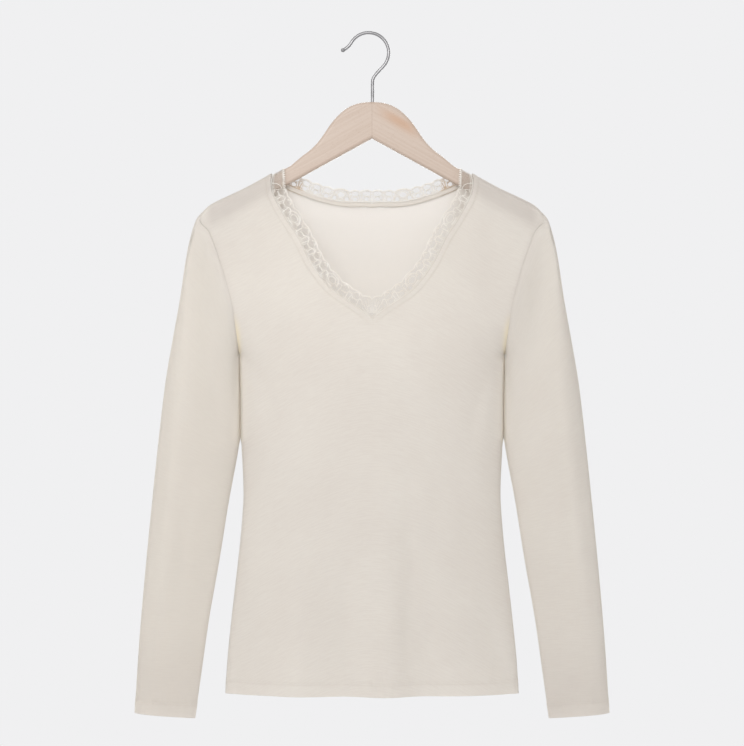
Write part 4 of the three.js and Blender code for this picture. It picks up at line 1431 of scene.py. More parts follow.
@dataclass
class Panel:
    """The front or back panel, from the neck and armholes to the hem."""

    side: Side
    name: str
    columns: int = 72
    lower_rows: int = 108
    crowd: float = 0.1
    middle_downs: tuple[float, ...] = (236, 272, 310, 348)
    middle_rows: int = 32

    def _starts(self, rows: Array) -> Array:
        """The inner ends of the upper rows: down the neck edge, and on the back down the middle after it."""
        neck = NECK[self.side]
        middle = self.middle_downs if self.side is Side.BACK else ()
        edge_rows = len(ARMHOLE.downs) - len(middle)
        cap = list(ARMHOLE.cap_lengths)
        total = float(neck.flat_total)
        lengths = cap + [cap[-1] + (total - cap[-1]) * (i + 1) / edge_rows for i in range(edge_rows)]
        knots = np.arange(len(lengths))
        spots = neck.flat_at(total - np.interp(rows, knots, lengths))
        if middle:
            downs = (NECK_EDGE[self.side][0].down, *middle)
            below = [float(BODY.length_to(np.array(0.0), np.array(down))) for down in downs]
            down_rows = np.arange(len(lengths) - 1, len(lengths) + len(middle))
            inside = rows > down_rows[0]
            spots[inside, 0] = 0
            spots[inside, 1] = np.interp(rows[inside], down_rows, below)
        return spots

    def _spots(self) -> Array:
        """Every point of the right half on the flat cloth: rows by columns by (x, length)."""
        even = np.linspace(0, 1, self.columns + 1)
        across = even - self.crowd * np.sin(2 * math.pi * even)
        rows = row_numbers()
        starts = self._starts(rows)
        ends = np.stack([ARMHOLE.x(rows), ARMHOLE.length(rows)], axis=-1)
        upper = blend(starts[:, None], ends[:, None], across[None, :, None])
        last = upper[-1]
        underarm = BODY.shoulder_down(last[:, 0]) + BODY.drop_after(last[:, 0], last[:, 1])
        fine_top = BODY.hem_down - SEWING.hem_depth - 4
        fine = np.arange(fine_top, BODY.hem_down, SEWING.fine_row)[1:]
        parts = np.linspace(0, 1, self.lower_rows + 1)[1:]
        downs = blend(underarm[None], fine_top, parts[:, None])
        downs = np.concatenate([downs, np.repeat(fine[:, None], len(across), axis=1)])
        downs = np.concatenate([downs, np.full((1, len(across)), BODY.hem_down)])
        out = BODY.side_out(downs) * across
        lower = np.stack([out, BODY.length_to(out, downs)], axis=-1)
        return np.concatenate([upper, lower])

    def cloth(self) -> Cloth:
        """Make the panel's sheet of points."""
        sheet = Cloth(self.name)
        spots = self._spots()
        upper = len(row_numbers())
        for half in Half:
            x, length = spots[..., 0] * half.value, spots[..., 1]
            points = BODY.point(self.side, x, length)
            down = -points[..., 2]
            side_gap = np.linalg.norm(points - points[:, -1:], axis=-1)
            neck_gap = np.linalg.norm(points - points[:, :1], axis=-1)
            neck_rows = upper if self.side is Side.FRONT else upper - self.middle_rows
            neck_gap[neck_rows:] = FAR
            neck_gap = np.minimum(neck_gap, self._neck_distance(points))
            above = BODY.hem_down - down
            dip = SEWING.seam_dip(side_gap) + 0.5 * SEWING.seam_dip(length)
            apart = 1 - SEWING.side_by_side(down)
            band = 1 - smooth((neck_gap - SEWING.neck_band + 0.6) / 1.2)
            line = bell(neck_gap - SEWING.neck_band - 0.3, SEWING.needle_width)
            relief = SEWING.neck_rise * band - SEWING.neck_trough * line - SEWING.seam_trough * dip * apart
            relief += SEWING.side_relief(side_gap, down)
            relief += SEWING.hem_relief(above, x + 3 * self.side.value)
            walls = blend(SEWING.wall, SEWING.hem_wall, np.maximum(SEWING.hem_layers(above), band * 0.6))
            uv = np.stack([x / 10, length / 10 + (self.side is Side.BACK) * 90], axis=-1)
            marks = {
                # painted shade in the seams and along the stitch rows
                "seam": dip + 0.5 * line + 0.55 * SEWING.hem_mark(above),
                # painted shade where the hanger lies behind the cloth
                "wood": self._wood(np.abs(x), down),
                "warm": SEWING.warmth(side_gap, down),
                "light": SEWING.crease_light(side_gap, down),
                "inside": self._inside(np.abs(x), down),
            }
            sheet.grid(points, walls, uv, relief, marks, half.value * self.side.value > 0)
        sheet.merge()
        return sheet

    def _neck_distance(self, points: Array) -> Array:
        """Distances from points of the cloth to the neck's edge."""
        edge = NECK[self.side].points[::4]
        far = np.full(points.shape[:2], FAR)
        near = (-points[..., 2] < 370) & (np.abs(points[..., 0]) < 140)
        chosen = np.abs(points[near]) * [1, 0, 0] + points[near] * [0, 1, 1]
        far[near] = np.sqrt(((chosen[:, None] - edge[None]) ** 2).sum(-1)).min(1)
        return far

    @staticmethod
    def _wood(out: Array, down: Array) -> Array:
        """How much painted shade darkens the cloth where the hanger lies behind it and blocks the light that
        comes through, with a darker line just under the wood's lower edge.
        """
        lower = HANGER_APEX + HANGER_SLOPE * out
        below_top = smooth((down - BODY.shoulder_down(out)) / 4 + 0.45)
        above_bottom = 1 - smooth((down - lower + 5) / 8)
        rim = 0.14 * bell(down - lower - 3, 3.5)
        return (0.36 * below_top * above_bottom + rim) * (1 - smooth((out - 189) / 14))

    def _inside(self, out: Array, down: Array) -> Array:
        """How much the light in the neck's opening brightens the inside of the back."""
        lit = 0.8 + 0.2 * smooth((down - 220) / 100)
        reach = (1 - smooth((down - 345) / 60)) * (1 - smooth((out - 84) / 30))
        return lit * reach * (self.side is Side.BACK)

    def hem_lines(self) -> list[Array]:
        """The hem's two rows of stitches, in millimetres."""
        made = []
        for row in SEWING.needle_rows:
            down = BODY.hem_down - SEWING.hem_depth + row
            x = np.linspace(-1, 1, 320) * (float(BODY.side_out(np.array(down))) - 1.2)
            length = BODY.length_to(np.abs(x), np.full_like(x, down))
            made.append(self._on_face(x, length, 0.1))
        return made

    def neck_lines(self) -> list[Array]:
        """The row of stitches along the neck's band, in millimetres."""
        neck = NECK[self.side]
        even = np.linspace(0, neck.flat_total - 2.5, 260)
        way = unit(neck.flat_at(even + 1) - neck.flat_at(np.maximum(even - 1, 0)))
        outwards = np.stack([-way[:, 1], way[:, 0]], axis=-1)
        outwards *= np.sign(outwards[:, 1:] + 1e-9)
        right = neck.flat_at(even) + outwards * (SEWING.neck_band - 0.6)
        right = right[right[:, 0] > 0]
        tip = right[0] - way[0] * (right[0, 0] / max(way[0, 0], 0.2))
        right = np.concatenate([[tip * [0, 1]], right])
        both = np.concatenate([right[:0:-1] * [-1, 1], right])
        return [self._on_face(both[:, 0], both[:, 1], 0.42)]

    def _on_face(self, x: Array, length: Array, above: float) -> Array:
        """Points a little above the outer face."""
        return BODY.point(self.side, x, length) + BODY.normal(self.side, x, length) * above


@dataclass
class Sleeve:
    """A long sleeve as one tube, from the armhole to the cuff."""

    half: Half
    name: str
    rows: int = 132
    growth: float = 1.25
    stitch_points: int = 120
    rim_light: float = 0.6
    light_left: float = 0.3
    light_right: float = 0.14
    form: SleeveForm = field(init=False)

    def __post_init__(self) -> None:
        """Make the sleeve's surface."""
        self.form = SleeveForm(self.half)
        self.length = self.form.cuff_outer + float(self.form.tip[2])

    def cloth(self) -> Cloth:
        """Make the sleeve's sheet of points."""
        rows = row_numbers()
        fine_from = 1 - (SEWING.hem_depth + 4) / self.length
        along = (np.linspace(0, 1, self.rows) ** self.growth) * fine_from
        fine = np.arange(fine_from, 1, SEWING.fine_row / self.length)[1:]
        along = np.concatenate([along, fine, [1.0]])
        sides = [(Side.FRONT, rows), (Side.BACK, rows[-2:0:-1])]
        blocks = []
        for side, numbers in sides:
            grid_row, grid_along = np.broadcast_arrays(numbers[None], along[:, None])
            flat = self.form.point(side, grid_row.ravel(), grid_along.ravel())
            blocks.append(flat.reshape(len(along), len(numbers), 3))
        points = np.concatenate(blocks, axis=1)
        seam_point = points[:, len(rows) - 1 : len(rows)]
        seam_gap = np.linalg.norm(points - seam_point, axis=-1)
        hole_gap = np.linalg.norm(points - points[:1], axis=-1)
        above = (1 - along)[:, None] * self.length + 0 * seam_gap
        around = np.cumsum(np.linalg.norm(np.diff(points, axis=1, prepend=points[:, :1]), axis=-1), axis=1)
        dip = SEWING.seam_dip(hole_gap) + 0.7 * SEWING.seam_dip(seam_gap)
        down = -points[..., 2]
        apart = 1 - SEWING.side_by_side(down)
        relief = SEWING.hem_relief(above, around) - SEWING.seam_trough * np.minimum(dip, 1) * apart
        relief += SEWING.side_relief(seam_gap, down)
        walls = blend(SEWING.wall, SEWING.hem_wall, SEWING.hem_layers(above))
        uv = np.stack([around / 10 + self.half.value * 50 + 200, above / 10], axis=-1)
        outer_gap = np.linalg.norm(points - points[:, :1], axis=-1)
        lit = self.light_left if self.half is Half.LEFT else self.light_right
        lit = (self.rim_light * bell(outer_gap, 7) + lit) * smooth(hole_gap / 30)
        marks = {
            # painted shade in the seams and along the stitch rows
            "seam": dip + 0.55 * SEWING.hem_mark(above),
            # painted shade at the cuffs, where the doubled cloth lets less light through; this mark darkens
            # the sleeve though no wood lies there
            "wood": 0.34 * smooth((along[:, None] - 0.8) / 0.2) + 0 * dip,
            "warm": SEWING.warmth(seam_gap, down),
            "light": lit + SEWING.crease_light(seam_gap, down),
        }
        sheet = Cloth(self.name)
        sheet.grid(points, walls, uv, relief, marks, self.half is Half.RIGHT, ring=True)
        sheet.merge()
        return sheet

    def cuff_lines(self) -> list[Array]:
        """The cuff's two rows of stitches, in millimetres."""
        front = np.linspace(0, ARMHOLE.last, self.stitch_points)
        back = np.linspace(ARMHOLE.last, 0, self.stitch_points)[1:-1]
        made = []
        for row in SEWING.needle_rows:
            along = 1 - (SEWING.hem_depth - row) / self.length
            sides = ((Side.FRONT, front), (Side.BACK, back))
            runs = [self.form.point(side, rows, np.full_like(rows, along)) for side, rows in sides]
            line = np.concatenate(runs)
            made.append(line + unit((line - line.mean(0)) * [0.25, 1, 0]) * 0.1)
        return made


class LaceMotif(NamedTuple):
    """A motif of the lace, its length before it is fitted to the neck, and how often it follows itself."""

    kind: str
    length: float
    count: int


class Oval(NamedTuple):
    """An open oval of the lace: its place along, its distance in, and half its length and height."""

    along: float
    into: float
    half_length: float
    half_height: float

    def ring(self, grow: float, count: int = 24) -> Array:
        """Points of the oval's edge, grown outwards."""
        angle = np.linspace(0, 2 * math.pi, count, endpoint=False)
        x = self.along + (self.half_length + grow) * np.cos(angle)
        return np.stack([x, self.into + (self.half_height + grow) * np.sin(angle)], axis=-1)

    def near(self, points: Array, grow: float) -> Array:
        """Whether points lie inside the oval, grown outwards."""
        if grow <= -self.half_height:
            return np.zeros(len(points), bool)
        across = (points[:, 0] - self.along) / (self.half_length + grow)
        return across**2 + ((points[:, 1] - self.into) / (self.half_height + grow)) ** 2 < 1


class ScallopRow(NamedTuple):
    """How far a motif's scallop bulges and how far its middle end rises."""

    bump: float
    rise: float = 0.0


SCALLOPS = {
    "plain": ScallopRow(0),
    "arc": ScallopRow(1.8),
    "medallion": ScallopRow(2.6),
    "fan": ScallopRow(1, 8),
}
LACE_GAPS = {
    "plain": [],
    "arc": [Oval(0.5, 10.6, 4.3, 2.6), Oval(0.5, 4, 2.7, 2.3)],
    "medallion": [Oval(0.5, 8.7, 4.4, 3.2), Oval(0.155, 4, 2.3, 2.3), Oval(0.845, 4, 2.3, 2.3)],
    "fan": [Oval(0.25, 8.4, 2.7, 3.2), Oval(0.62, 12.2, 3.6, 2.4), Oval(0.67, 4.8, 3, 2.2)],
}
FRONT_MOTIFS = table(
    LaceMotif,
    ("fan", 20, 1), ("arc", 14, 2), ("medallion", 22, 1), ("arc", 14.5, 4), ("medallion", 22, 1),
    ("arc", 14.5, 2), ("plain", 3.6, 6),
)
BACK_MOTIFS = table(
    LaceMotif,
    ("arc", 13.5, 2), ("medallion", 22, 1), ("arc", 13.7, 4), ("plain", 3.6, 8),
)


@dataclass
class LaceTape:
    """Scalloped lace along the neck: bands, cords and ovals of thread over a fine net."""

    name: str
    side: Side
    motifs: list[LaceMotif]
    width: float
    tuck: float
    halves: tuple[int, ...]
    shift: tuple[float, float, float]
    under: float = 2.4
    scallop: float = 1.8
    net_side: float = 0.95
    net_width: float = 0.13
    cord: float = 0.42
    fine: float = 0.24
    band: float = 0.62
    band_flatness: float = 0.42
    tooth_pitch: float = 1.65
    picot_pitch: float = 2.1
    petals: int = 6

    def __post_init__(self) -> None:
        """Fit the motifs to the neck's length."""
        neck = NECK[self.side]
        kinds = [motif for motif in self.motifs for _ in range(motif.count)]
        fit = neck.total / sum(motif.length for motif in kinds)
        self.kinds = [motif.kind for motif in kinds]
        self.sizes = np.array([motif.length for motif in kinds]) * fit
        self.starts = np.concatenate([[0.0], np.cumsum(self.sizes)])
        self.ovals = [
            Oval(start + gap.along * size, gap.into, gap.half_length * fit, gap.half_height)
            for kind, start, size in zip(self.kinds, self.starts, self.sizes)
            for gap in LACE_GAPS[kind]
        ]

    def height(self, along: Array) -> Array:
        """Distance from the fabric's edge to the lace's scalloped edge."""
        number = np.clip(np.searchsorted(self.starts, along, side="right") - 1, 0, len(self.kinds) - 1)
        rows = [SCALLOPS[kind] for kind in self.kinds]
        bump = np.array([row.bump for row in rows])[number]
        rise = np.array([row.rise for row in rows])[number]
        part = np.clip((along - self.starts[number]) / self.sizes[number], 0, 1)
        return self.width - self.scallop / 2 + bump * np.sin(part * math.pi) + rise * (1 - part)

    def _clipped(self, points: Array, edge: float = 0.3, gap: float = 0.5) -> list[Array]:
        """Cut a line where it leaves the tape or crosses an open oval.

        Args:
            points: the line.
            edge: how far it stays back from the scallops.
            gap: how far it stays clear of the ovals; with -FAR it runs over them.

        Returns:
            The pieces that are left.
        """
        end = self.starts[-1] - 0.2
        keep = (points[:, 0] > 0.02) & (points[:, 0] < end) & (points[:, 1] > -self.tuck)
        keep &= points[:, 1] < self.height(points[:, 0]) - edge
        for oval in self.ovals:
            keep &= ~oval.near(points, gap)
        cuts = np.flatnonzero(np.diff(keep.astype(int))) + 1
        runs = zip(np.split(points, cuts), np.split(keep, cuts))
        return [run for run, kept in runs if kept[0] and len(run) > 1]

    def _net(self) -> list[Line]:
        """The hexagonal net behind the pattern."""
        step, rise = self.net_side * math.sqrt(3) / 2, self.net_side * 1.5
        count = int(self.starts[-1] / step)
        made = []
        for number in range(int((self.tuck + self.width + 10) / rise)):
            base = number * rise - self.tuck
            along = np.arange(count) * step
            odd = (np.arange(count) + number) % 2
            row = np.stack([along, base + odd * self.net_side / 2], axis=-1)
            links = [np.array([spot, spot + [0, self.net_side]]) for spot in row[odd == 1]]
            for path in (row, *links):
                made += [Line(run, self.net_width) for run in self._clipped(path, gap=-FAR)]
        return made

    def _arch(self, middle: float, half_length: float, height: float, base: float = 1.6) -> Array:
        """An arch of thread that stands on the tape's base."""
        angle = np.linspace(0, math.pi, 34)
        rise = base + (height - base) * np.sin(angle)
        return np.stack([middle + half_length * np.cos(angle), rise], axis=-1)

    def _base(self) -> list[Line]:
        """The bands along the fabric's edge and the ladder of short teeth."""
        along = np.arange(0.05, self.starts[-1] - 0.2, 1.2)
        made = []
        for into, width in ((-self.tuck + 0.7, self.band), (0.7, self.band), (3.5, self.fine)):
            row = np.stack([along, np.full_like(along, into)], axis=-1)
            made += [Line(run, width, self.band_flatness, 0.15) for run in self._clipped(row, gap=0.2)]
        for spot in np.arange(0.8, self.starts[-1] - 0.6, self.tooth_pitch):
            for run in self._clipped(np.array([[spot, 0.9], [spot, 2.2], [spot, 3.4]]), gap=0.2):
                made.append(Line(run, 0.36, 0.6, 0.1))
        return made

    def _edge(self) -> list[Line]:
        """The cords along the scallops, and the picots outside them."""
        along = np.arange(0.15, self.starts[-1] - 0.1, 0.9)
        made = []
        for back, width, lift in ((0.45, self.cord, 0.12), (1.75, self.fine, 0.1)):
            row = np.stack([along, self.height(along) - back], axis=-1)
            made += [Line(run, width, 0.8, lift) for run in self._clipped(row, edge=0.3, gap=0.1)]
        for spot in np.arange(1.0, self.starts[-1] - 1, self.picot_pitch):
            top = float(self.height(np.array([spot]))[0])
            plain = self.kinds[min(int(np.searchsorted(self.starts, spot)), len(self.kinds)) - 1] == "plain"
            reach, width = (1.7, 0.5) if plain else (0.5, 0.3)
            picot = np.array([[spot, top - 0.3], [spot, top + reach / 3], [spot, top + reach]])
            made.append(Line(picot, width, 0.8, 0.12))
        return made

    def _motif(self, kind: str, start: float, size: float) -> list[Line]:
        """The bands of one motif."""
        middle = start + size / 2
        if kind == "arc":
            bands = [(self._arch(middle, 6.1, self.width - 0.6), self.band)]
            bands.append((self._arch(middle, 3.6, 7.4), self.cord))
            bands += [(self._arch(start, 6.4, 10.6), self.band), (self._arch(start, 4.6, 8.4), self.fine)]
            bands.append((self._arch(start + size, 6.4, 12.2), self.cord))
        elif kind == "medallion":
            outer, inner = Oval(middle, 8.7, 10.4, 6.1), Oval(middle, 8.7, 8.9, 4.9)
            rings = [(oval.ring(0, 60), width) for oval, width in ((outer, self.band), (inner, self.fine))]
            bands = [(np.concatenate([ring, ring[:1]]), width) for ring, width in rings]
            core = Oval(middle, 8.7, 5.4, 3.9)
            spokes = zip(core.ring(0, 18), outer.ring(-0.4, 18))
            bands += [(blend(a, b, np.linspace(0, 1, 4)[:, None]), self.fine) for a, b in spokes]
            bands += [(self._arch(start + part * size, 3.9, 7.0, 1.2), self.fine) for part in (0.155, 0.845)]
            bands.append((self._arch(middle, 11.2, 16.6, 3.0), self.cord))
        else:
            bands = []
        made = []
        for points, width in bands:
            flatness, lift = (self.band_flatness, 0.2) if width > self.fine else (0.8, 0.12)
            made += [Line(run, width, flatness, lift) for run in self._clipped(points, edge=0.5, gap=0.45)]
        return made

    def _fan(self) -> list[Line]:
        """Petals that spread from the bottom of the V."""
        made = []
        for number in range(self.petals):
            angle = math.radians(83 - 14 * number)
            length = 16 - 6 * math.cos(angle) ** 2
            petal = np.linspace(7, 7 + length, 16)[:, None] * np.array([math.cos(angle), math.sin(angle)])
            made += [Line(run, 0.6, 0.4, 0.2) for run in self._clipped(petal, edge=1.6, gap=-FAR)]
        return made

    def lines(self) -> list[Line]:
        """All threads of the right half, laid flat."""
        made = self._net() + self._base() + self._edge()
        for kind, start, size in zip(self.kinds, self.starts, self.sizes):
            made += self._motif(kind, start, size)
        if "fan" in self.kinds:
            made += self._fan()
        for oval in self.ovals:
            large = oval.half_height > 3
            made.append(Line(oval.ring(0.5), 0.5 if large else self.fine, 0.5, 0.22, True))
        return made

    def build(self, growth: ThreadGrowth) -> bpy.types.Object:
        """Grow the threads and lay them along the neck."""
        lines = []
        for half in self.halves:
            for line in self.lines():
                flat = np.stack([line.points[:, 0] * half, line.points[:, 1], 0 * line.points[:, 0]], axis=-1)
                lines.append(line._replace(points=flat))
        mesh = growth.run(lines_mesh(self.name, lines), {"Sides": 5, "Width Scale": 1.0})
        mesh.name = self.name
        spots = np.zeros(len(mesh.vertices) * 3, np.float32)
        mesh.vertices.foreach_get("co", spots)
        place, into, lift = spots.reshape(-1, 3).T.astype(float) / MM
        laid = NECK[self.side].whole(place, into, self.under - lift) + np.array(self.shift)
        mesh.vertices.foreach_set("co", (laid * MM).ravel().astype(np.float32))
        if self.side is Side.BACK:
            mesh.flip_normals()
        mesh.update()
        return add_object(self.name, mesh)

    def flat_size(self) -> tuple[float, float]:
        """Width and length of the flat tape, in metres."""
        return ((self.width + self.tuck) * MM, float(self.starts[-1]) * len(self.halves) * MM)


@dataclass
class NeckTape:
    """The plain bias strip that covers the lace's seam inside the back neck."""

    name: str
    reach: float = 109.0
    top: float = -0.6
    bottom: float = -4.8
    under: float = 3.2
    wall: float = 0.5
    step: float = 1.6
    shift: tuple[float, float, float] = (0.0, 0.15, 0.0)

    def build(self, finish: bpy.types.Material) -> bpy.types.Object:
        """Sweep the strip's section along the back neck."""
        angle = np.linspace(0, 2 * math.pi, 20, endpoint=False)
        middle, half = (self.top + self.bottom) / 2, (self.top - self.bottom) / 2
        into = middle + half * np.sign(np.cos(angle)) * np.abs(np.cos(angle)) ** 0.35
        under = self.under + self.wall * (0.5 + 0.5 * np.sign(np.sin(angle)) * np.abs(np.sin(angle)) ** 0.5)
        places = np.arange(-self.reach, self.reach + 0.01, self.step)
        grid_place, grid_into = np.meshgrid(places, into, indexing="ij")
        pucker = 0.1 * np.sin(grid_place * 2.1 + np.sin(grid_place / 9))
        grid_under = np.broadcast_to(under, grid_place.shape) + pucker
        laid = NECK[Side.BACK].whole(grid_place.ravel(), grid_into.ravel(), grid_under.ravel())
        rings = laid.reshape(*grid_place.shape, 3) + np.array(self.shift)
        return add_object(self.name, Sweep(self.name, rings).mesh(finish))


@dataclass
class Hanger:
    """A wooden hanger of two arms glued at the middle, with a hook of round wire."""

    half_thickness: float = 6.0
    round_edge: float = 3.6
    end: float = 198.0
    end_round: float = 9.0
    clear_neck: float = 4.2
    clear_arm: float = 2.1
    arm_from: float = 98.0
    wire: float = 2.0
    tip_ball: float = 2.6
    ring_radius: float = 24.0
    ring_x: float = -4.0
    flare_angle: float = 150.0
    flare_out: float = 10.0
    flare_down: float = 9.0
    flare_pull: float = 6.5
    bend_angle: float = -41.0
    bend_drop: float = 35.0
    bend_pull: float = 8.0
    shank_pull: float = 6.5
    shank_x: float = 0.6
    shank_end: float = 101.8

    def _outline(self) -> Array:
        """The wood's outline as seen from the front, as (x, down), anticlockwise from the top."""
        dome = np.arange(0, 84, 2.0)
        top = SmoothCurve(WOOD_TOP, "out", "down")
        arm = np.arange(self.arm_from, self.end - self.end_round, 3.0)
        part = smooth((arm - BODY.cap_from) / (BODY.cap_to - BODY.cap_from))
        arm_down = BODY.shoulder_down(arm) + blend(self.clear_neck, self.clear_arm, part)
        angle = np.linspace(0, math.pi, 13)
        top_end = float(BODY.shoulder_down(self.end)) + self.clear_arm
        low_end = HANGER_APEX + HANGER_SLOPE * self.end
        end_out = self.end - self.end_round * (1 - np.sin(angle))
        end_down = blend(top_end, low_end, (1 - np.cos(angle)) / 2)
        lower = np.concatenate([dome, arm])[::-1]
        lower_down = HANGER_APEX + HANGER_SLOPE * lower
        out = np.concatenate([dome, arm, end_out, lower])
        top_down = sum(top(np.abs(dome + step)) for step in (-6.0, -3.0, 0.0, 3.0, 6.0)) / 5
        down = np.concatenate([top_down, arm_down, end_down, lower_down])
        right = np.stack([out, down], axis=-1)
        return np.concatenate([right, right[-2:0:-1] * [-1, 1]])

    def arms(self, name: str, finish: bpy.types.Material) -> bpy.types.Object:
        """Make the wood: a plate with rounded edges."""
        outline = self._outline()
        before, after = np.roll(outline, 1, axis=0), np.roll(outline, -1, axis=0)
        first, second = unit(outline - before), unit(after - outline)
        normals = [np.stack([way[:, 1], -way[:, 0]], axis=-1) for way in (first, second)]
        mitre = unit(normals[0] + normals[1])
        mitre /= np.maximum((mitre * normals[0]).sum(-1, keepdims=True), 0.5)
        angle = np.linspace(0, math.pi / 2, 7)
        inset = np.concatenate([self.round_edge * (1 - np.cos(angle)), [self.round_edge + 0.5]])
        flat = self.half_thickness - self.round_edge
        depth = np.concatenate([flat + self.round_edge * np.sin(angle), [self.half_thickness]])
        insets, depths = np.concatenate([inset[::-1], inset]), np.concatenate([-depth[::-1], depth])
        rings = []
        for step, y in zip(insets, depths):
            ring = outline - mitre * step
            rings.append(np.stack([ring[:, 0], np.full(len(ring), y), -ring[:, 1]], axis=-1))
        return add_object(name, Sweep(name, np.array(rings)).mesh(finish, plate=True))

    def _path(self) -> Array:
        """The wire's middle line from the flared tip to the end of the shank, as (x, z)."""
        inside = self.ring_radius - self.wire
        centre = np.array([self.ring_x, -math.sqrt(inside**2 - self.ring_x**2)])
        flare, bend = math.radians(self.flare_angle), math.radians(self.bend_angle)
        angle = np.linspace(flare, bend, 90)[:, None]
        ring = centre + self.ring_radius * np.concatenate([np.cos(angle), np.sin(angle)], axis=1)
        tip = ring[0] + [-self.flare_out, -self.flare_down]
        before = ring[0] - self.flare_pull * np.array([math.sin(flare), -math.cos(flare)])
        t = np.linspace(0, 1, 24)[:-1, None]
        start = tip * (1 - t) ** 2 + before * 2 * t * (1 - t) + ring[0] * t**2
        top = np.array([self.shank_x, centre[1] - self.bend_drop])
        pull = ring[-1] + self.bend_pull * np.array([math.sin(bend), -math.cos(bend)])
        above = top + [0, self.shank_pull]
        t = np.linspace(0, 1, 30)[1:, None]
        turn = ring[-1] * (1 - t) ** 3 + pull * 3 * t * (1 - t) ** 2 + above * 3 * t**2 * (1 - t) + top * t**3
        shank = np.array([[self.shank_x, z] for z in np.linspace(top[1], -self.shank_end, 12)[1:]])
        return np.concatenate([start, ring, turn, shank])

    def hook(self, name: str, finish: bpy.types.Material, sides: int = 20) -> bpy.types.Object:
        """Make the wire, with its ball tip."""
        path = self._path()
        way = unit(np.gradient(path, axis=0))
        lengths = measure(path)
        ball = np.linspace(0.02, 0.94, 12) * math.pi
        ball_along, ball_radius = -np.cos(ball) * self.tip_ball, np.sin(ball) * self.tip_ball
        ball_path = path[0] + way[0] * ball_along[:, None]
        kept = lengths > ball_along[-1] + 0.6
        middle = np.concatenate([ball_path, path[kept]])
        ways = np.concatenate([np.repeat(way[:1], len(ball_path), axis=0), way[kept]])
        ball_radius = np.maximum(ball_radius, np.where(ball > math.pi / 2, self.wire, 0))
        radius = np.concatenate([ball_radius, np.full(kept.sum(), self.wire)])
        angle = np.linspace(0, 2 * math.pi, sides, endpoint=False)
        across = np.stack([ways[:, 1], -ways[:, 0]], axis=-1)
        in_plane = across[:, None] * np.cos(angle)[None, :, None] * radius[:, None, None]
        depth = np.sin(angle)[None] * radius[:, None]
        flat = middle[:, None] + in_plane
        rings = np.stack([flat[..., 0], depth, flat[..., 1]], axis=-1)
        return add_object(name, Sweep(name, rings).mesh(finish))


@dataclass(frozen=True)
class Lamp:
    """A soft white round lamp: metres for its place, size and aim, watts, and degrees for its spread."""

    name: str
    spot: tuple[float, float, float]
    size: float
    power: float
    spread: float
    aim: tuple[float, float, float]

    def light(self) -> None:
        """Add the lamp to the scene."""
        lamp = bpy.data.lights.new(self.name, "AREA")
        lamp.shape, lamp.size, lamp.energy = "DISK", self.size, self.power
        lamp.spread = math.radians(self.spread)
        made = add_object(self.name, lamp)
        made.location = self.spot
        made.rotation_euler = (Vector(self.aim) - Vector(self.spot)).to_track_quat("-Z", "Y").to_euler()
        made.visible_camera = False


@dataclass
class Studio:
    """Camera, lights, floor and air of the picture."""

    distance: float = 3.0
    level: float = EYE_LEVEL
    view: float = 0.8952
    sensor: float = 36.0
    floor_level: float = -1.15
    floor_radius: float = 1.85
    air: tuple = linear(240, 240, 241)
    lamps: tuple[Lamp, ...] = (
        Lamp("key", (-0.45, -1.75, 0.3), 0.9, 3.15, 75, (-0.10, 0.0, -0.32)),
        Lamp("back", (0.2, 1.7, 0.2), 1.6, 29, 180, (0.0, 0.0, EYE_LEVEL)),
    )

    def camera(self) -> None:
        """Look straight at the top from the front."""
        lens = bpy.data.cameras.new("camera")
        lens.sensor_width = self.sensor
        lens.lens = self.sensor * self.distance / self.view
        made = add_object("camera", lens)
        made.location = (0, -self.distance, self.level)
        made.rotation_euler = (math.pi / 2, 0, 0)
        bpy.context.scene.camera = made

    def surroundings(self) -> None:
        """Make the pale air and the floor."""
        world = bpy.data.worlds.new("pale air")
        world.use_nodes = True
        ground = next(node for node in world.node_tree.nodes if node.type == "BACKGROUND")
        ground.inputs["Color"].default_value = self.air
        ground.inputs["Strength"].default_value = 1.0
        bpy.context.scene.world = world
        angle = np.linspace(0, 2 * math.pi, 96, endpoint=False)
        rim = np.stack([np.cos(angle), np.sin(angle)], axis=-1) * self.floor_radius
        mesh = bpy.data.meshes.new("floor")
        mesh.from_pydata([(x, y, self.floor_level) for x, y in rim.tolist()], [], [list(range(96))])
        mesh.materials.append(FloorFinish("studio floor").material())
        add_object("floor", mesh)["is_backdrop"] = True

    def build(self) -> None:
        """Set up the whole studio."""
        self.camera()
        self.surroundings()
        for lamp in self.lamps:
            lamp.light()
        bpy.context.scene.view_settings.view_transform = "Standard"


@dataclass
class Dressing:
    """A finished piece, the name of its finish and the solids that it stands in for."""

    made: bpy.types.Object
    slot: str
    nodes: tuple[str, ...]

    def declare(self) -> None:
        """Let the piece ride, hide the solids that it stands in for, and log its triangles and the name of
        its finish.
        """
        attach(self.made, "root")
        if self.nodes:
            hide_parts(*self.nodes)
        triangles = sum(len(face.vertices) - 2 for face in self.made.data.polygons)
        LOG.info("%s: %d triangles, finish %s, for %s", self.made.name, triangles, self.slot, self.nodes)


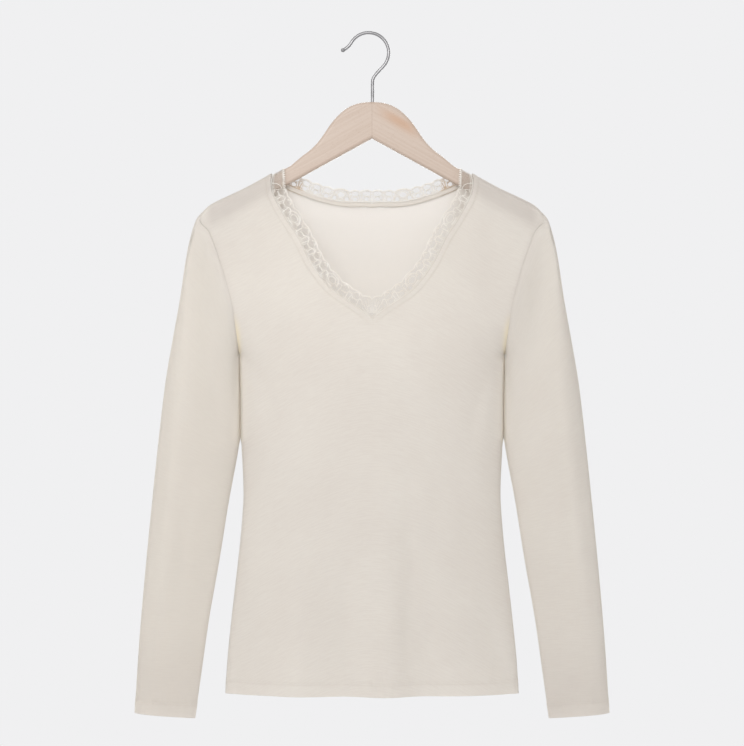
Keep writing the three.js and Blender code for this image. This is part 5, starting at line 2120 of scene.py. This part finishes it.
@dataclass
class Garment:
    """The knitted top with its lace: every piece that is cut and sewn."""

    shift: float = 0.03

    def cloth(self, finish: bpy.types.Material) -> None:
        """Make the panels and sleeves together, so that their seams agree."""
        self.front, self.back = Panel(Side.FRONT, "front_panel"), Panel(Side.BACK, "back_panel")
        self.left, self.right = Sleeve(Half.LEFT, "left_sleeve"), Sleeve(Half.RIGHT, "right_sleeve")
        rows = [
            (self.front, "front", (0, -self.shift, 0)),
            (self.back, "back", (0, self.shift, 0)),
            (self.left, "sleeve_left", (-2 * self.shift, 0, -self.shift)),
            (self.right, "sleeve_right", (2 * self.shift, 0, -self.shift)),
        ]
        sheets = [piece.cloth() for piece, _, _ in rows]
        Cloth.share_normals(sheets, BODY.underarm_down)
        for sheet, (piece, node, shift) in zip(sheets, rows):
            made = sheet.shell(shift, finish)
            Dressing(made, "knit", (node,)).declare()
            flat = (sheet.flat_width, sheet.flat_length)
            sheet.area()
            LOG.info("%s: %.4f m2 of cloth, %.3f by %.3f m flat", piece.name, sheet.area(), *flat)

    def trims(self, lace: bpy.types.Material, knit: bpy.types.Material) -> None:
        """Make the lace and the strip inside the back neck."""
        growth = ThreadGrowth(lace)
        gap = self.shift
        tapes = [
            LaceTape("left_front_lace", Side.FRONT, FRONT_MOTIFS, 16.5, 3.0, (-1,), (-gap, -gap, 0)),
            LaceTape("right_front_lace", Side.FRONT, FRONT_MOTIFS, 16.5, 3.0, (1,), (gap, -gap, 0)),
            LaceTape("back_lace", Side.BACK, BACK_MOTIFS, 14.5, 5.5, (-1, 1), (0, gap, 0)),
        ]
        for tape, node in zip(tapes, ("lace_front_left", "lace_front_right", "lace_back")):
            made = tape.build(growth)
            Dressing(made, "lace", (node,)).declare()
            width, length = tape.flat_size()
        Dressing(NeckTape("neck_tape").build(knit), "knit", ("neck_binding",)).declare()

    def stitches(self, finish: bpy.types.Material) -> None:
        """Sew the hems, the cuffs and the neck's band."""
        growth = StitchGrowth(finish)
        rows = [
            ("hem_stitches", self.front.hem_lines() + self.back.hem_lines()),
            ("neck_stitches", self.front.neck_lines() + self.back.neck_lines()),
            ("left_cuff_stitches", self.left.cuff_lines()),
            ("right_cuff_stitches", self.right.cuff_lines()),
        ]
        for name, lines in rows:
            closed = "cuff" in name
            paths = [Line(points, 0.2, 1.0, 0.0, closed) for points in lines]
            mesh = growth.run(lines_mesh(name, paths), {})
            mesh.name = name
            Dressing(add_object(name, mesh), "knit", ()).declare()


def write_size(before: tuple, after: tuple) -> None:
    """Turn the model's box before and after dressing into plain lists."""
    boxes = {"cad": before, "model": after}
    boxes = {name: [[float(v) for v in corner] for corner in box] for name, box in boxes.items()}


def main() -> None:
    """Build every piece in order."""
    Studio().build()
    knit = KnitFinish("cream jersey").material()
    lace = ThreadFinish("lace thread").material()
    sewn = (linear(238, 232, 223), linear(228, 220, 210), linear(232, 225, 215))
    thread = ThreadFinish("sewing thread", *sewn).material()
    garment = Garment()
    garment.cloth(knit)
    garment.trims(lace, knit)
    garment.stitches(thread)
    hanger = Hanger()
    beech = WoodFinish("pale beech").material()
    Dressing(hanger.arms("hanger_arms", beech), "wood", ("hanger_wood",)).declare()
    steel = SteelFinish("bright steel").material()
    Dressing(hanger.hook("hanger_wire", steel), "steel", ("hanger_hook",)).declare()
    write_size(CAD_BOX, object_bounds())


if __name__ == "__main__":
    main()
